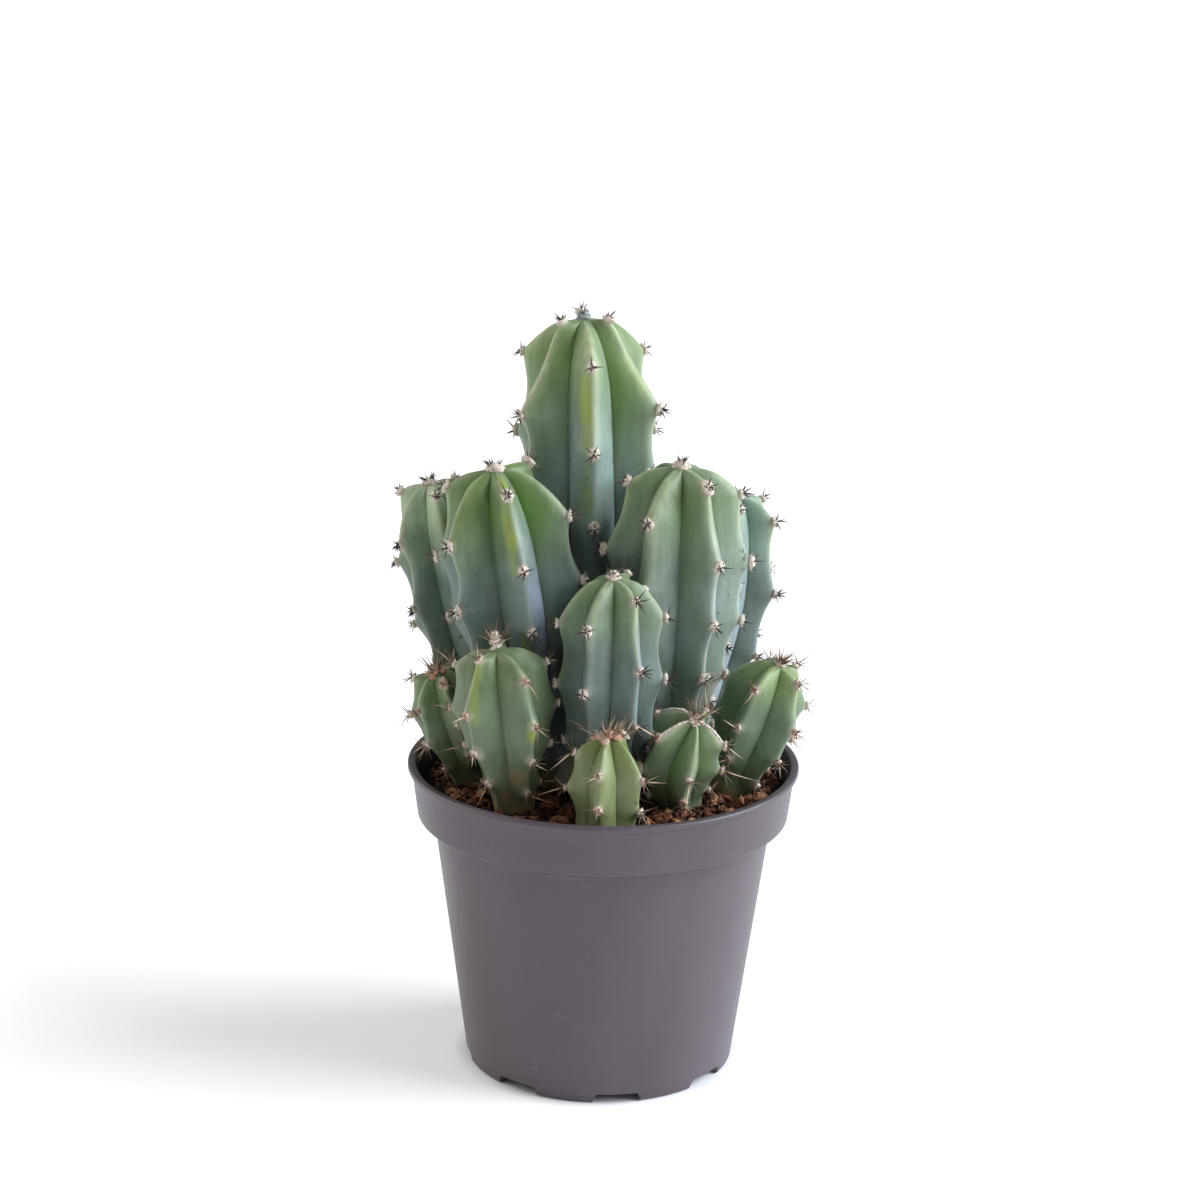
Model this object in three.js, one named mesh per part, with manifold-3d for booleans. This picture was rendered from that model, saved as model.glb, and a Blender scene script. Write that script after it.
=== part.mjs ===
// A potted tall cactus: eleven ribbed, spined stems of one clump standing in peat and bark soil in a
// thin moulded nursery pot. Millimetres, +Z up, the front of the pot towards -Y, the origin on the
// pot's axis at the level it stands on.

import * as THREE from "three";
import { mergeVertices } from "three/addons/utils/BufferGeometryUtils.js";
import Module from "manifold-3d";

const wasm = await Module();
wasm.setup();

// ---- Driving dimensions of the pot ----
const POT_HEIGHT = 96;
const RIM_RADIUS = 60; // outer radius of the rolled lip
const LIP_HEIGHT = 1.8;
const LIP_OVERHANG = 1.1;
const COLLAR_FOOT_RADIUS = 57; // the collar tapers a little below the lip
const COLLAR_FOOT_HEIGHT = 80;
const SHOULDER_RADIUS = 51.8; // where the collar's underside slopes in to the body
const SHOULDER_HEIGHT = 77;
const BASE_RADIUS = 41.5;
const BASE_ROUNDING = 1.2;
const WALL = 1.5;
const FLOOR_UNDERSIDE = 3.4; // the floor is raised on a foot ring
const FOOT_RING_WIDTH = 3.2;
const NOTCH_COUNT = 8; // the foot ring is notched so that water can run out
const NOTCH_ANGLE = 20;
const NOTCH_HEIGHT = 3;
const FIRST_NOTCH_ANGLE = 8; // from the front towards +X
const DRAIN_HOLE_RADIUS = 4;
const DRAIN_HOLE_CIRCLE = 29;
const DRAIN_HOLE_SIDES = 8;
const POT_SEGMENTS = 36;
const EDGE = 0.4; // rounding of the lip, and of the collar's foot
const CUT = 4; // how far a cutter reaches past what it cuts

// ---- Driving dimensions of the soil ----
const SOIL_LEVEL = 90;
const SOIL_ROUGHNESS = 0.7; // height of its lumps
const SOIL_SLUMP = 2.4; // how far it has sunk along the wall
const SOIL_SEGMENTS = 18;
const SOIL_RINGS = 4;
const CHIP_COUNT = 12;
const CHIP_SIZES = [2.2, 4]; // half the length
const CHIP_WIDTHS = [0.55, 0.85]; // as shares of the length
const CHIP_HEIGHTS = [0.4, 0.65];
const CHIP_REACH = 46;
const CHIP_SINK = 0.25; // share of a chip's size that it lies sunk in the soil
const CHIP_ROOM = 0.8; // between a chip and a stem
const STEM_DEPTH = 8; // how far a stem reaches into the soil
const SEAT_SIDES = 10;
const SEAT_GAP = 0.42; // between a stem and its seat in the soil
const GAP = 0.3; // between pieces that touch

// ---- Driving dimensions shared by the stems ----
const SPINE_WIDTH = 0.55;
const SPINE_ROOT = 3.2; // length of a spine inside the flesh
const SPINE_LENGTHS = [0.75, 1.1]; // as shares of the stem's own spine length
const SPINE_CLEARANCE = 1.3; // between a spine and another stem
const SPINE_OVER_SOIL = 3;
const SPINE_TO_RIM = 1;
const SWELLING = 1; // how far ribs are taken to stand out, where only the plain radius is known
const TIP_SPINE = 2.6; // length of the upright spine on each tip
const TUBERCLE_HEIGHT = 2.4; // how far a full-sized rib stands out at an areole
const GROWN_RADIUS = 20; // of a stem whose ribs stand out in full
const SAG = 0.125; // how deep a crest sags between two areoles, as a share of the way between them
const CROWN_SAG = 0.06; // and how much deeper over the dome
const TIP_SAG = 0.4; // how much of that there is above the topmost areoles
const SAG_FROM = 0.12; // share of the stem's length over which ribs begin to stand out
const CROWN_COURSES = [0.8, 1.2]; // the courses between which the sag gets deeper, 1 where the dome starts
const TIP_COURSE = 1.65; // the course from which the ribs stand out less, towards 2 at the tip
const SWELL_FROM = 0.06; // share of the length where a stem begins to get wider
const CREST_ROUNDING = 0.1; // share of the way to the furrow over which a crest is rounded
const FLATNESS = 0.7; // 1 for flat flanks, 0 for bulging ones
const BULGE_POWER = 1.5;
const FOOT_RIB_DEPTH = 0.1; // share of the radius, at the soil
const RIB_DEPTH = 0.36;
const RIBS_FULL_AT = 0.35; // share of the length where the ribs reach their depth
const RIBS_DEEPEN_AT = 0.6; // and where they begin to change towards the depth at the tip
const LOWEST_AREOLE = 5; // above the soil
const SLIMMEST = 0.8; // radius of the buried end, as a share of the foot
const COLUMNS_PER_RIB = 4;
const THICK = 16; // a stem of a larger radius has longer faces
const SEED = 7;

// Each stem: foot on the soil, tip, sideways bow of its middle, number of ribs, angle of the first
// rib from the front towards +X, radii over the ribs at the foot and when full, share of the length
// where it gets full, length of the dome and its power, 2 where it is round and more where it is
// squarer, depth of the furrows at the tip as a share of the radius, distance of the topmost areoles
// below the tip, their spacing, how much each space is shorter than the one above, where each rib's
// areoles start as a share of a space, and length of the spines.
const STEMS = [
  {
    name: "stem_tall_back",
    foot: [-4, 33], tip: [-8, 33, 227], bow: 0.7, ribs: 6, turn: 5,
    footRadius: 13, radius: 22.3, full: 0.6, dome: 27, power: 2.05, tipDepth: 0.46,
    first: 1.5, space: 26, shrink: 1.5, starts: [0.42, 0, 0.5, 0, 0.44, 0], spine: 4.2,
  },
  {
    name: "stem_tall_left",
    foot: [-17, 2], tip: [-34, -1, 188], bow: -0.6, ribs: 6, turn: 13,
    footRadius: 11, radius: 20.3, full: 0.62, dome: 26, power: 2.15, tipDepth: 0.46,
    first: 2, space: 20.5, shrink: 0.6, starts: [0.22, 0.74, 0.1, 0.6, 0.24, 0.82], spine: 4,
  },
  {
    name: "stem_tall_right",
    foot: [18, 6], tip: [22, 2, 189], bow: 0.6, ribs: 6, turn: 33,
    footRadius: 11, radius: 20, full: 0.68, dome: 26, power: 2.15, tipDepth: 0.46,
    first: 3, space: 21, shrink: 1.2, starts: [0.1, 0.33, 0.8, 0.3, 0.2, 0.55], spine: 4,
  },
  {
    name: "stem_far_left",
    foot: [-33, 27], tip: [-54.8, 25, 176.5], bow: -2, ribs: 6, turn: 12,
    footRadius: 8, radius: 14.2, full: 0.6, dome: 18, power: 2.15, tipDepth: 0.46,
    first: 1.5, space: 22, shrink: 1, starts: [0.1, 0.6, 0.1, 0.6, 0.1, 0.65], spine: 2.9,
  },
  {
    name: "stem_far_right",
    foot: [28, 36], tip: [40, 38, 170.5], bow: 3, ribs: 6, turn: 5,
    footRadius: 7, radius: 14.2, full: 0.64, dome: 18, power: 2.15, tipDepth: 0.46,
    first: 1.5, space: 22, shrink: 1, starts: [0.1, 0.28, 0.1, 0.6, 0.1, 0.6], spine: 3.6,
  },
  {
    name: "stem_middle",
    foot: [1, -21], tip: [2, -23, 161], bow: 0, ribs: 6, turn: 33,
    footRadius: 9.5, radius: 14.6, full: 0.55, dome: 18, power: 2.15, tipDepth: 0.46,
    first: 1, space: 20, shrink: 1, starts: [0.22, 0.6, 0.1, 0.5, 0.7, 0.6], spine: 4.5,
  },
  {
    name: "stem_low_left",
    foot: [-26.5, -28], tip: [-32, -32, 141], bow: 0, ribs: 5, turn: 34,
    footRadius: 6.5, radius: 15, full: 0.62, dome: 15, power: 2.15, tipDepth: 0.5,
    first: 1, space: 13.5, shrink: 0.6, starts: [0.45, 0.5, 0.2, 0.4, 0.05], spine: 5.5,
  },
  {
    name: "stem_low_far_left",
    foot: [-40.5, -4], tip: [-51, -12, 127.5], bow: 0, ribs: 6, turn: 22,
    footRadius: 6, radius: 10.6, full: 0.55, dome: 12, power: 2.15, tipDepth: 0.5,
    first: 1, space: 12, shrink: 0.5, starts: [0.1, 0.6, 0.1, 0.6, 0.1, 0.6], spine: 6,
  },
  {
    name: "stem_low_right",
    foot: [39, -8], tip: [52.5, -14, 132], bow: 0, ribs: 5, turn: 40,
    footRadius: 7, radius: 12.8, full: 0.55, dome: 14, power: 2.15, tipDepth: 0.5,
    first: 1, space: 12.5, shrink: 0.5, starts: [0.15, 0, 0.4, 0.8, 0.45], spine: 6,
  },
  {
    name: "stem_young_front",
    foot: [1.2, -43.2], tip: [1.2, -44.2, 118.7], bow: 0, ribs: 5, turn: -13,
    footRadius: 9, radius: 11.2, full: 0.5, dome: 14, power: 1.9, tipDepth: 0.66,
    first: 1, space: 10.5, shrink: 0.4, starts: [0.75, 1.05, 0.1, 0.35, 0.45], spine: 6.5,
  },
  {
    name: "stem_young_right",
    foot: [23, -21], tip: [27, -39, 122.6], bow: -2.5, ribs: 5, turn: 7,
    footRadius: 7, radius: 11.4, full: 0.5, dome: 12.5, power: 1.9, tipDepth: 0.74,
    first: 1, space: 12, shrink: 0.4, starts: [0.95, 0.5, 0.3, 0.75, 0.45], spine: 7.5,
  },
];

const COLORS = { pot: 0x625860, soil: 0x3a221b, flesh: 0x5f7a6d, young: 0x76935c };

// ---- Small helpers ----

const radians = THREE.MathUtils.degToRad;
const clamp01 = (x) => Math.min(1, Math.max(0, x));
const smooth = (x) => clamp01(x) ** 2 * (3 - 2 * clamp01(x));

// Seeded random numbers from 0 to 1.
function randomSource(seed) {
  let state = seed;
  return () => {
    state = (state * 1664525 + 1013904223) % 4294967296;
    return state / 4294967296;
  };
}

function solidOf(geometry) {
  const bare = new THREE.BufferGeometry();
  bare.setAttribute("position", geometry.getAttribute("position").clone());
  if (geometry.index) bare.setIndex(geometry.index.clone());
  const merged = mergeVertices(bare, 1e-4);
  return new wasm.Manifold(
    new wasm.Mesh({
      numProp: 3,
      vertProperties: new Float32Array(merged.attributes.position.array),
      triVerts: new Uint32Array(merged.index.array),
    }),
  );
}

function geometryOf(solid) {
  const mesh = solid.getMesh();
  const geometry = new THREE.BufferGeometry();
  geometry.setAttribute("position", new THREE.BufferAttribute(new Float32Array(mesh.vertProperties), 3));
  geometry.setIndex(new THREE.BufferAttribute(new Uint32Array(mesh.triVerts), 1));
  geometry.computeVertexNormals();
  return geometry;
}

// Drops a spine that misses the flesh.
const largestBody = (solid) => solid.decompose().reduce((a, b) => (a.volume() > b.volume() ? a : b));

// A closed surface from rings of points, bottom ring first, each ring anticlockwise seen from above,
// with a point in the middle of each end.
function skinRings(rings, bottom, top) {
  const count = rings[0].length;
  const points = [bottom, ...rings.flat(), top];
  const faces = [];
  const last = points.length - 1;
  for (let i = 0; i < count; i++) {
    const j = (i + 1) % count;
    faces.push(0, 1 + j, 1 + i);
    for (let r = 0; r + 1 < rings.length; r++) {
      const [a, b, c, d] = [i, j, j + count, i + count].map((k) => 1 + r * count + k);
      faces.push(a, b, c, a, c, d);
    }
    const topRing = 1 + (rings.length - 1) * count;
    faces.push(topRing + i, topRing + j, last);
  }
  const geometry = new THREE.BufferGeometry();
  const numbers = new Float32Array(points.flatMap((p) => [p.x, p.y, p.z]));
  geometry.setAttribute("position", new THREE.BufferAttribute(numbers, 3));
  geometry.setIndex(faces);
  return geometry;
}

// ---- The pot ----

// A wedge of the foot ring, seen from above, that a notch takes away.
function notchCutter(angle) {
  const inner = BASE_RADIUS - FOOT_RING_WIDTH - CUT;
  const outer = BASE_RADIUS + CUT;
  const half = radians(NOTCH_ANGLE / 2);
  const shape = new THREE.Shape();
  shape.moveTo(inner * Math.cos(half), -inner * Math.sin(half));
  shape.lineTo(outer * Math.cos(half), -outer * Math.sin(half));
  shape.lineTo(outer * Math.cos(half), outer * Math.sin(half));
  shape.lineTo(inner * Math.cos(half), inner * Math.sin(half));
  shape.closePath();
  const wedge = new THREE.ExtrudeGeometry(shape, { depth: NOTCH_HEIGHT + CUT, bevelEnabled: false });
  wedge.translate(0, 0, -CUT);
  wedge.rotateZ(radians(angle - 90));
  return wedge;
}

function drainHoleCutter(angle) {
  const hole = new THREE.CylinderGeometry(DRAIN_HOLE_RADIUS, DRAIN_HOLE_RADIUS, 2 * CUT, DRAIN_HOLE_SIDES);
  hole.rotateX(Math.PI / 2);
  hole.translate(DRAIN_HOLE_CIRCLE, 0, FLOOR_UNDERSIDE + WALL / 2);
  hole.rotateZ(radians(angle - 90));
  return hole;
}

function makePot() {
  const lipFoot = POT_HEIGHT - LIP_HEIGHT;
  const collarTopRadius = RIM_RADIUS - LIP_OVERHANG;
  const ringInner = BASE_RADIUS - FOOT_RING_WIDTH;
  const floorTop = FLOOR_UNDERSIDE + WALL;
  const outline = [
    [0, FLOOR_UNDERSIDE],
    [ringInner - 2 * EDGE, FLOOR_UNDERSIDE],
    [ringInner, 0],
    [BASE_RADIUS - BASE_ROUNDING, 0],
    [BASE_RADIUS, BASE_ROUNDING],
    [SHOULDER_RADIUS, SHOULDER_HEIGHT],
    [COLLAR_FOOT_RADIUS - EDGE, COLLAR_FOOT_HEIGHT - EDGE],
    [COLLAR_FOOT_RADIUS, COLLAR_FOOT_HEIGHT],
    [collarTopRadius, lipFoot],
    [RIM_RADIUS, lipFoot + EDGE],
    [RIM_RADIUS, POT_HEIGHT - EDGE],
    [RIM_RADIUS - EDGE, POT_HEIGHT],
    [collarTopRadius - WALL + EDGE, POT_HEIGHT],
    [collarTopRadius - WALL, POT_HEIGHT - EDGE],
    [COLLAR_FOOT_RADIUS - WALL, COLLAR_FOOT_HEIGHT + 2 * EDGE],
    [SHOULDER_RADIUS - WALL, SHOULDER_HEIGHT + EDGE],
    [BASE_RADIUS - WALL, floorTop],
    [0, floorTop],
  ];
  const points = outline.map(([radius, height]) => new THREE.Vector2(radius, height));
  const wall = new THREE.LatheGeometry(points, POT_SEGMENTS);
  wall.rotateX(Math.PI / 2);
  let pot = solidOf(wall);
  for (let i = 0; i < NOTCH_COUNT; i++) {
    const angle = FIRST_NOTCH_ANGLE + (i * 360) / NOTCH_COUNT;
    pot = pot.subtract(solidOf(notchCutter(angle)));
    pot = pot.subtract(solidOf(drainHoleCutter(angle)));
  }
  return geometryOf(pot);
}

// ---- The stems ----

// A point of the centre line, at a share of its length, with the stem's own directions there.
function centreLine(stem, share) {
  const foot = new THREE.Vector3(stem.foot[0], stem.foot[1], SOIL_LEVEL);
  const rise = new THREE.Vector3(...stem.tip).sub(foot);
  const point = foot.clone().addScaledVector(rise, share);
  const slope = rise.clone();
  point.x += 4 * stem.bow * share * (1 - share);
  slope.x += 4 * stem.bow * (1 - 2 * share);
  const along = slope.normalize();
  const side = new THREE.Vector3(1, 0, 0).addScaledVector(along, -along.x).normalize();
  const back = along.clone().cross(side);
  return { point, along, side, back };
}

const lengthOf = (stem) =>
  new THREE.Vector3(...stem.tip).distanceTo(new THREE.Vector3(stem.foot[0], stem.foot[1], SOIL_LEVEL));

// The radius over the ribs on the way up: course 0 to 1 runs from the soil to where the dome starts,
// and 1 to 2 over the dome to the tip.
function meridian(stem, course) {
  const domeStart = 1 - stem.dome / lengthOf(stem);
  if (course <= 1) {
    const share = domeStart * course;
    const swell = smooth((share - SWELL_FROM) / (stem.full - SWELL_FROM));
    return { share, radius: stem.footRadius + (stem.radius - stem.footRadius) * swell };
  }
  const turn = ((Math.min(course, 2) - 1) * Math.PI) / 2;
  const power = 2 / stem.power;
  return {
    share: domeStart + (1 - domeStart) * Math.sin(turn) ** power,
    radius: stem.radius * Math.max(0, Math.cos(turn)) ** power,
  };
}

function courseAt(stem, share) {
  const domeStart = 1 - stem.dome / lengthOf(stem);
  if (share <= domeStart) return share / domeStart;
  const rise = Math.min(1, (share - domeStart) / (1 - domeStart));
  return 1 + (Math.asin(rise ** (stem.power / 2)) * 2) / Math.PI;
}

function ribDepth(stem, share) {
  const body = FOOT_RIB_DEPTH + (RIB_DEPTH - FOOT_RIB_DEPTH) * clamp01(share / RIBS_FULL_AT);
  const top = clamp01((share - RIBS_DEEPEN_AT) / (1 - RIBS_DEEPEN_AT));
  return body + (stem.tipDepth - RIB_DEPTH) * top;
}

// How far out the skin lies between a crest and a furrow, as a share of the crest's radius.
function acrossRib(stem, phase, depth) {
  const halfRib = Math.PI / stem.ribs;
  const rounding = (x) => Math.hypot(x, CREST_ROUNDING) - CREST_ROUNDING;
  const rounded = rounding(phase) / rounding(1);
  const turn = rounded * halfRib;
  const furrow = 1 - depth;
  const flat = (furrow * Math.sin(halfRib)) / (Math.sin(turn) + furrow * Math.sin(halfRib - turn));
  return FLATNESS * flat + (1 - FLATNESS) * (1 - depth * rounded ** BULGE_POWER);
}

// The areoles, the woolly spots that spines grow from, spaced along each rib from the tip down.
function areolesOf(stem) {
  const length = lengthOf(stem);
  const found = [];
  stem.starts.forEach((start, rib) => {
    const belowTip = (step) => stem.first + stem.space * step - (stem.shrink * step * step) / 2;
    for (let step = start; belowTip(step) < length - LOWEST_AREOLE; step++) {
      const course = courseAt(stem, 1 - belowTip(step) / length);
      found.push({ rib, course, angle: stem.turn + (360 / stem.ribs) * rib });
    }
  });
  return found;
}

// The way along the skin from the soil.
function walkAlong(stem, course) {
  const body = lengthOf(stem) - stem.dome;
  const overDome = (Math.PI / 2) * Math.hypot(stem.dome, stem.radius) * Math.SQRT1_2;
  return body * Math.min(course, 1) + overDome * clamp01(course - 1);
}

// Where a rib's areoles are along the skin, from the soil to the tip.
function stopsOf(stem, areoles, rib) {
  const own = areoles.filter((areole) => areole.rib === rib);
  const walks = own.map((areole) => walkAlong(stem, areole.course)).reverse();
  return [0, ...walks, walkAlong(stem, 2)];
}

// How far a rib stands out from the plain meridian at a share of the way out from its furrows. Its
// crest runs from areole to areole in slightly hollow lines, so that it has a corner at each of them.
function crestRelief(stem, stops, course, across) {
  const walk = walkAlong(stem, course);
  const next = Math.max(1, stops.findIndex((stop, i) => stop >= walk || i === stops.length - 1));
  const way = stops[next] - stops[next - 1];
  const part = (walk - stops[next - 1]) / way;
  const tip = next === stops.length - 1 ? TIP_SAG : 1;
  const crown = THREE.MathUtils.smoothstep(course, ...CROWN_COURSES);
  const sag = 4 * part * (1 - part) * way * tip * (SAG + CROWN_SAG * crown);
  const size = THREE.MathUtils.clamp(stem.radius / GROWN_RADIUS, 0.5, 1);
  const height = TUBERCLE_HEIGHT * size * (1 - THREE.MathUtils.smoothstep(course, TIP_COURSE, 2));
  return (height - sag) * across * smooth(meridian(stem, course).share / SAG_FROM);
}

function surfacePoint(stem, ribStops, course, angle) {
  const { share, radius } = meridian(stem, course);
  const { point, along, side, back } = centreLine(stem, share);
  const turns = ((angle - stem.turn) * stem.ribs) / 360;
  const rib = Math.round(turns);
  const phase = 2 * (turns - rib);
  const stops = ribStops[(rib + stem.ribs) % stem.ribs];
  const relief = crestRelief(stem, stops, course, 1 - Math.abs(phase));
  const over = (clamp01(course - 1) * Math.PI) / 2;
  const reach = (radius + relief * Math.cos(over)) * acrossRib(stem, phase, ribDepth(stem, share));
  point.addScaledVector(side, reach * Math.sin(radians(angle)));
  point.addScaledVector(back, -reach * Math.cos(radians(angle)));
  return point.addScaledVector(along, relief * Math.sin(over));
}

// The direction straight out of the skin, from points a little above, below and beside. Close to the
// tip it is taken a little lower.
function outwardAt(stem, ribStops, course, angle) {
  const [rise, turn, highest] = [0.02, 2, 1.9];
  const middle = Math.min(highest, course);
  const at = (c, a) => surfacePoint(stem, ribStops, c, a);
  const up = at(middle + rise, angle).sub(at(middle - rise, angle));
  const across = at(middle, angle + turn).sub(at(middle, angle - turn));
  return across.cross(up).normalize();
}

// The ribbed flesh of a stem, with its foot in the soil.
function makeFlesh(stem, ribStops) {
  const length = lengthOf(stem);
  const columns = COLUMNS_PER_RIB * stem.ribs;
  const [faceLength, domeRings] = stem.radius > THICK ? [6.8, 6] : [5.2, 5];
  const bodyRings = Math.round((length - stem.dome) / faceLength);
  const ringAt = (course) =>
    Array.from({ length: columns }, (_, i) =>
      surfacePoint(stem, ribStops, course, stem.turn + (360 / columns) * i),
    );
  const { point: middle, along } = centreLine(stem, 0);
  const buried = (p) => p.lerp(middle, 1 - SLIMMEST).addScaledVector(along, -STEM_DEPTH);
  const rings = [ringAt(0).map(buried)];
  for (let i = 0; i <= bodyRings; i++) rings.push(ringAt(i / bodyRings));
  for (let i = 1; i < domeRings; i++) rings.push(ringAt(1 + i / domeRings));
  const bottom = middle.clone().addScaledVector(along, -STEM_DEPTH);
  return skinRings(rings, bottom, new THREE.Vector3(...stem.tip));
}

// A three-sided spine whose root is sunk in the flesh.
function makeSpine(root, direction, length) {
  const spine = new THREE.ConeGeometry(SPINE_WIDTH / 2, length + SPINE_ROOT, 3, 1);
  spine.translate(0, (length + SPINE_ROOT) / 2 - SPINE_ROOT, 0);
  spine.applyQuaternion(new THREE.Quaternion().setFromUnitVectors(new THREE.Vector3(0, 1, 0), direction));
  return spine.translate(root.x, root.y, root.z);
}

// How far a point is outside a stem's ribs, measured across its centre line.
function distanceFrom(stem, point) {
  const share = (point.z - SOIL_LEVEL) / (stem.tip[2] - SOIL_LEVEL);
  if (share > 1) return point.distanceTo(new THREE.Vector3(...stem.tip));
  const line = centreLine(stem, Math.max(0, share));
  const away = point.clone().sub(line.point);
  away.addScaledVector(line.along, -away.dot(line.along));
  return away.length() - meridian(stem, courseAt(stem, Math.max(0, share))).radius - SWELLING;
}

function isClear(point, stem) {
  if (point.z < SOIL_LEVEL + SPINE_OVER_SOIL) return false;
  const rimInside = RIM_RADIUS - LIP_OVERHANG - WALL - SPINE_TO_RIM;
  if (point.z < POT_HEIGHT + SPINE_TO_RIM && Math.hypot(point.x, point.y) > rimInside) return false;
  return STEMS.every((other) => other === stem || distanceFrom(other, point) > SPINE_CLEARANCE);
}

// The directions of the spines of one areole: one near the normal, and one lower and flatter.
function spineDirections(outward, random) {
  const up = new THREE.Vector3(0, 0, 1);
  const sideways = up.clone().cross(outward).normalize();
  const slant = outward.clone().cross(sideways).normalize();
  const lean = (sidewaysShare, upShare) =>
    outward.clone().addScaledVector(sideways, sidewaysShare).addScaledVector(slant, upShare).normalize();
  const hand = random() < 0.5 ? -1 : 1;
  return [
    lean(hand * (0.1 + 0.3 * random()), -0.5 + 0.4 * random()),
    lean(-hand * (0.5 + 0.4 * random()), 0.1 + 0.5 * random()),
  ];
}

function makeStem(stem, random) {
  const areoles = areolesOf(stem);
  const ribStops = stem.starts.map((_, rib) => stopsOf(stem, areoles, rib));
  let solid = solidOf(makeFlesh(stem, ribStops));
  const addSpine = (root, direction, length) => {
    const reach = [0.35, 0.7, 1].map((share) => root.clone().addScaledVector(direction, length * share));
    if (!reach.every((point) => isClear(point, stem))) return;
    solid = solid.add(solidOf(makeSpine(root, direction, length)));
  };
  for (const [number, { course, angle }] of areoles.entries()) {
    const outward = outwardAt(stem, ribStops, course, angle);
    const root = surfacePoint(stem, ribStops, course, angle);
    for (const direction of spineDirections(outward, random).slice(0, 1 + (number % 2))) {
      addSpine(root, direction, stem.spine * THREE.MathUtils.lerp(...SPINE_LENGTHS, random()));
    }
  }
  addSpine(new THREE.Vector3(...stem.tip), centreLine(stem, 1).along, TIP_SPINE);
  return geometryOf(largestBody(solid));
}

// ---- The soil ----

const soilLump = (x, y) =>
  SOIL_ROUGHNESS * (Math.sin(0.15 * x + 1.2) * Math.cos(0.13 * y) + 0.6 * Math.sin(0.2 * x - 0.17 * y));

function makeSoilBody() {
  const wallRadius = (height) =>
    BASE_RADIUS - WALL - GAP +
    ((SHOULDER_RADIUS - BASE_RADIUS) * (height - FLOOR_UNDERSIDE)) / (SHOULDER_HEIGHT - FLOOR_UNDERSIDE);
  const bottom = FLOOR_UNDERSIDE + WALL + GAP;
  const collarRadius = COLLAR_FOOT_RADIUS - WALL - GAP - EDGE;
  const ring = (radius, height) =>
    Array.from({ length: SOIL_SEGMENTS }, (_, i) => {
      const angle = (2 * Math.PI * i) / SOIL_SEGMENTS;
      return new THREE.Vector3(radius * Math.cos(angle), radius * Math.sin(angle), height);
    });
  const rings = [
    ring(wallRadius(bottom) - GAP, bottom),
    ring(wallRadius(SHOULDER_HEIGHT) - GAP, SHOULDER_HEIGHT),
    ring(collarRadius, COLLAR_FOOT_HEIGHT + 2 * WALL),
  ];
  for (let i = 0; i < SOIL_RINGS; i++) {
    const radius = collarRadius * (1 - i / SOIL_RINGS);
    const slump = i === 0 ? -SOIL_SLUMP : 0;
    const surface = ring(radius, SOIL_LEVEL);
    surface.forEach((p) => (p.z += soilLump(p.x, p.y) + slump));
    rings.push(surface);
  }
  const top = new THREE.Vector3(0, 0, SOIL_LEVEL + soilLump(0, 0));
  return skinRings(rings, new THREE.Vector3(0, 0, bottom), top);
}

// The plain round hole that a stem stands in.
function stemHole(stem) {
  const radius = (stem.footRadius + SEAT_GAP) / Math.cos(Math.PI / SEAT_SIDES);
  const depth = STEM_DEPTH + GAP;
  const hole = new THREE.CylinderGeometry(radius, radius, depth + 2 * CUT, SEAT_SIDES);
  hole.translate(0, CUT - depth / 2, 0);
  const { point, along } = centreLine(stem, 0);
  hole.applyQuaternion(new THREE.Quaternion().setFromUnitVectors(new THREE.Vector3(0, 1, 0), along));
  return hole.translate(point.x, point.y, point.z);
}

function makeChip(random, x, y) {
  const between = ([least, most]) => least + (most - least) * random();
  const size = between(CHIP_SIZES);
  const chip = new THREE.IcosahedronGeometry(1, 0);
  chip.scale(size, size * between(CHIP_WIDTHS), size * between(CHIP_HEIGHTS));
  chip.rotateX(0.6 * (random() - 0.5));
  chip.rotateZ(Math.PI * 2 * random());
  return chip.translate(x, y, SOIL_LEVEL + soilLump(x, y) - CHIP_SINK * size);
}

function makeSoil(random) {
  let soil = solidOf(makeSoilBody());
  let placed = 0;
  while (placed < CHIP_COUNT) {
    const angle = 2 * Math.PI * random();
    const radius = CHIP_REACH * Math.sqrt(random());
    const [x, y] = [radius * Math.cos(angle), radius * Math.sin(angle)];
    const place = new THREE.Vector3(x, y, SOIL_LEVEL + CHIP_SIZES[1]);
    if (!STEMS.every((stem) => distanceFrom(stem, place) > CHIP_SIZES[1] + CHIP_ROOM)) continue;
    soil = soil.add(solidOf(makeChip(random, x, y)));
    placed++;
  }
  for (const stem of STEMS) soil = soil.subtract(solidOf(stemHole(stem)));
  return geometryOf(soil);
}

// ---- The plant, its soil and its pot together ----

function addMesh(group, name, geometry, color, roughness) {
  const material = new THREE.MeshStandardMaterial({ color, roughness, metalness: 0, flatShading: true });
  const mesh = new THREE.Mesh(geometry, material);
  mesh.name = name;
  group.add(mesh);
}

const plant = new THREE.Group();
const random = randomSource(SEED);
addMesh(plant, "pot", makePot(), COLORS.pot, 0.45);
addMesh(plant, "soil", makeSoil(random), COLORS.soil, 0.95);
for (const stem of STEMS) {
  const color = stem.name.startsWith("stem_young") ? COLORS.young : COLORS.flesh;
  addMesh(plant, stem.name, makeStem(stem, random), color, 0.6);
}

export default plant;
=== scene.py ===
# The looks of a potted tall cactus: eleven ribbed, spined stems of one clump in bark and peat soil,
# in a thin moulded nursery pot. Sizes are in millimetres and turned into metres when a mesh is made;
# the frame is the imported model's, with the front of the pot towards -Y.
from collections import namedtuple

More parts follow.
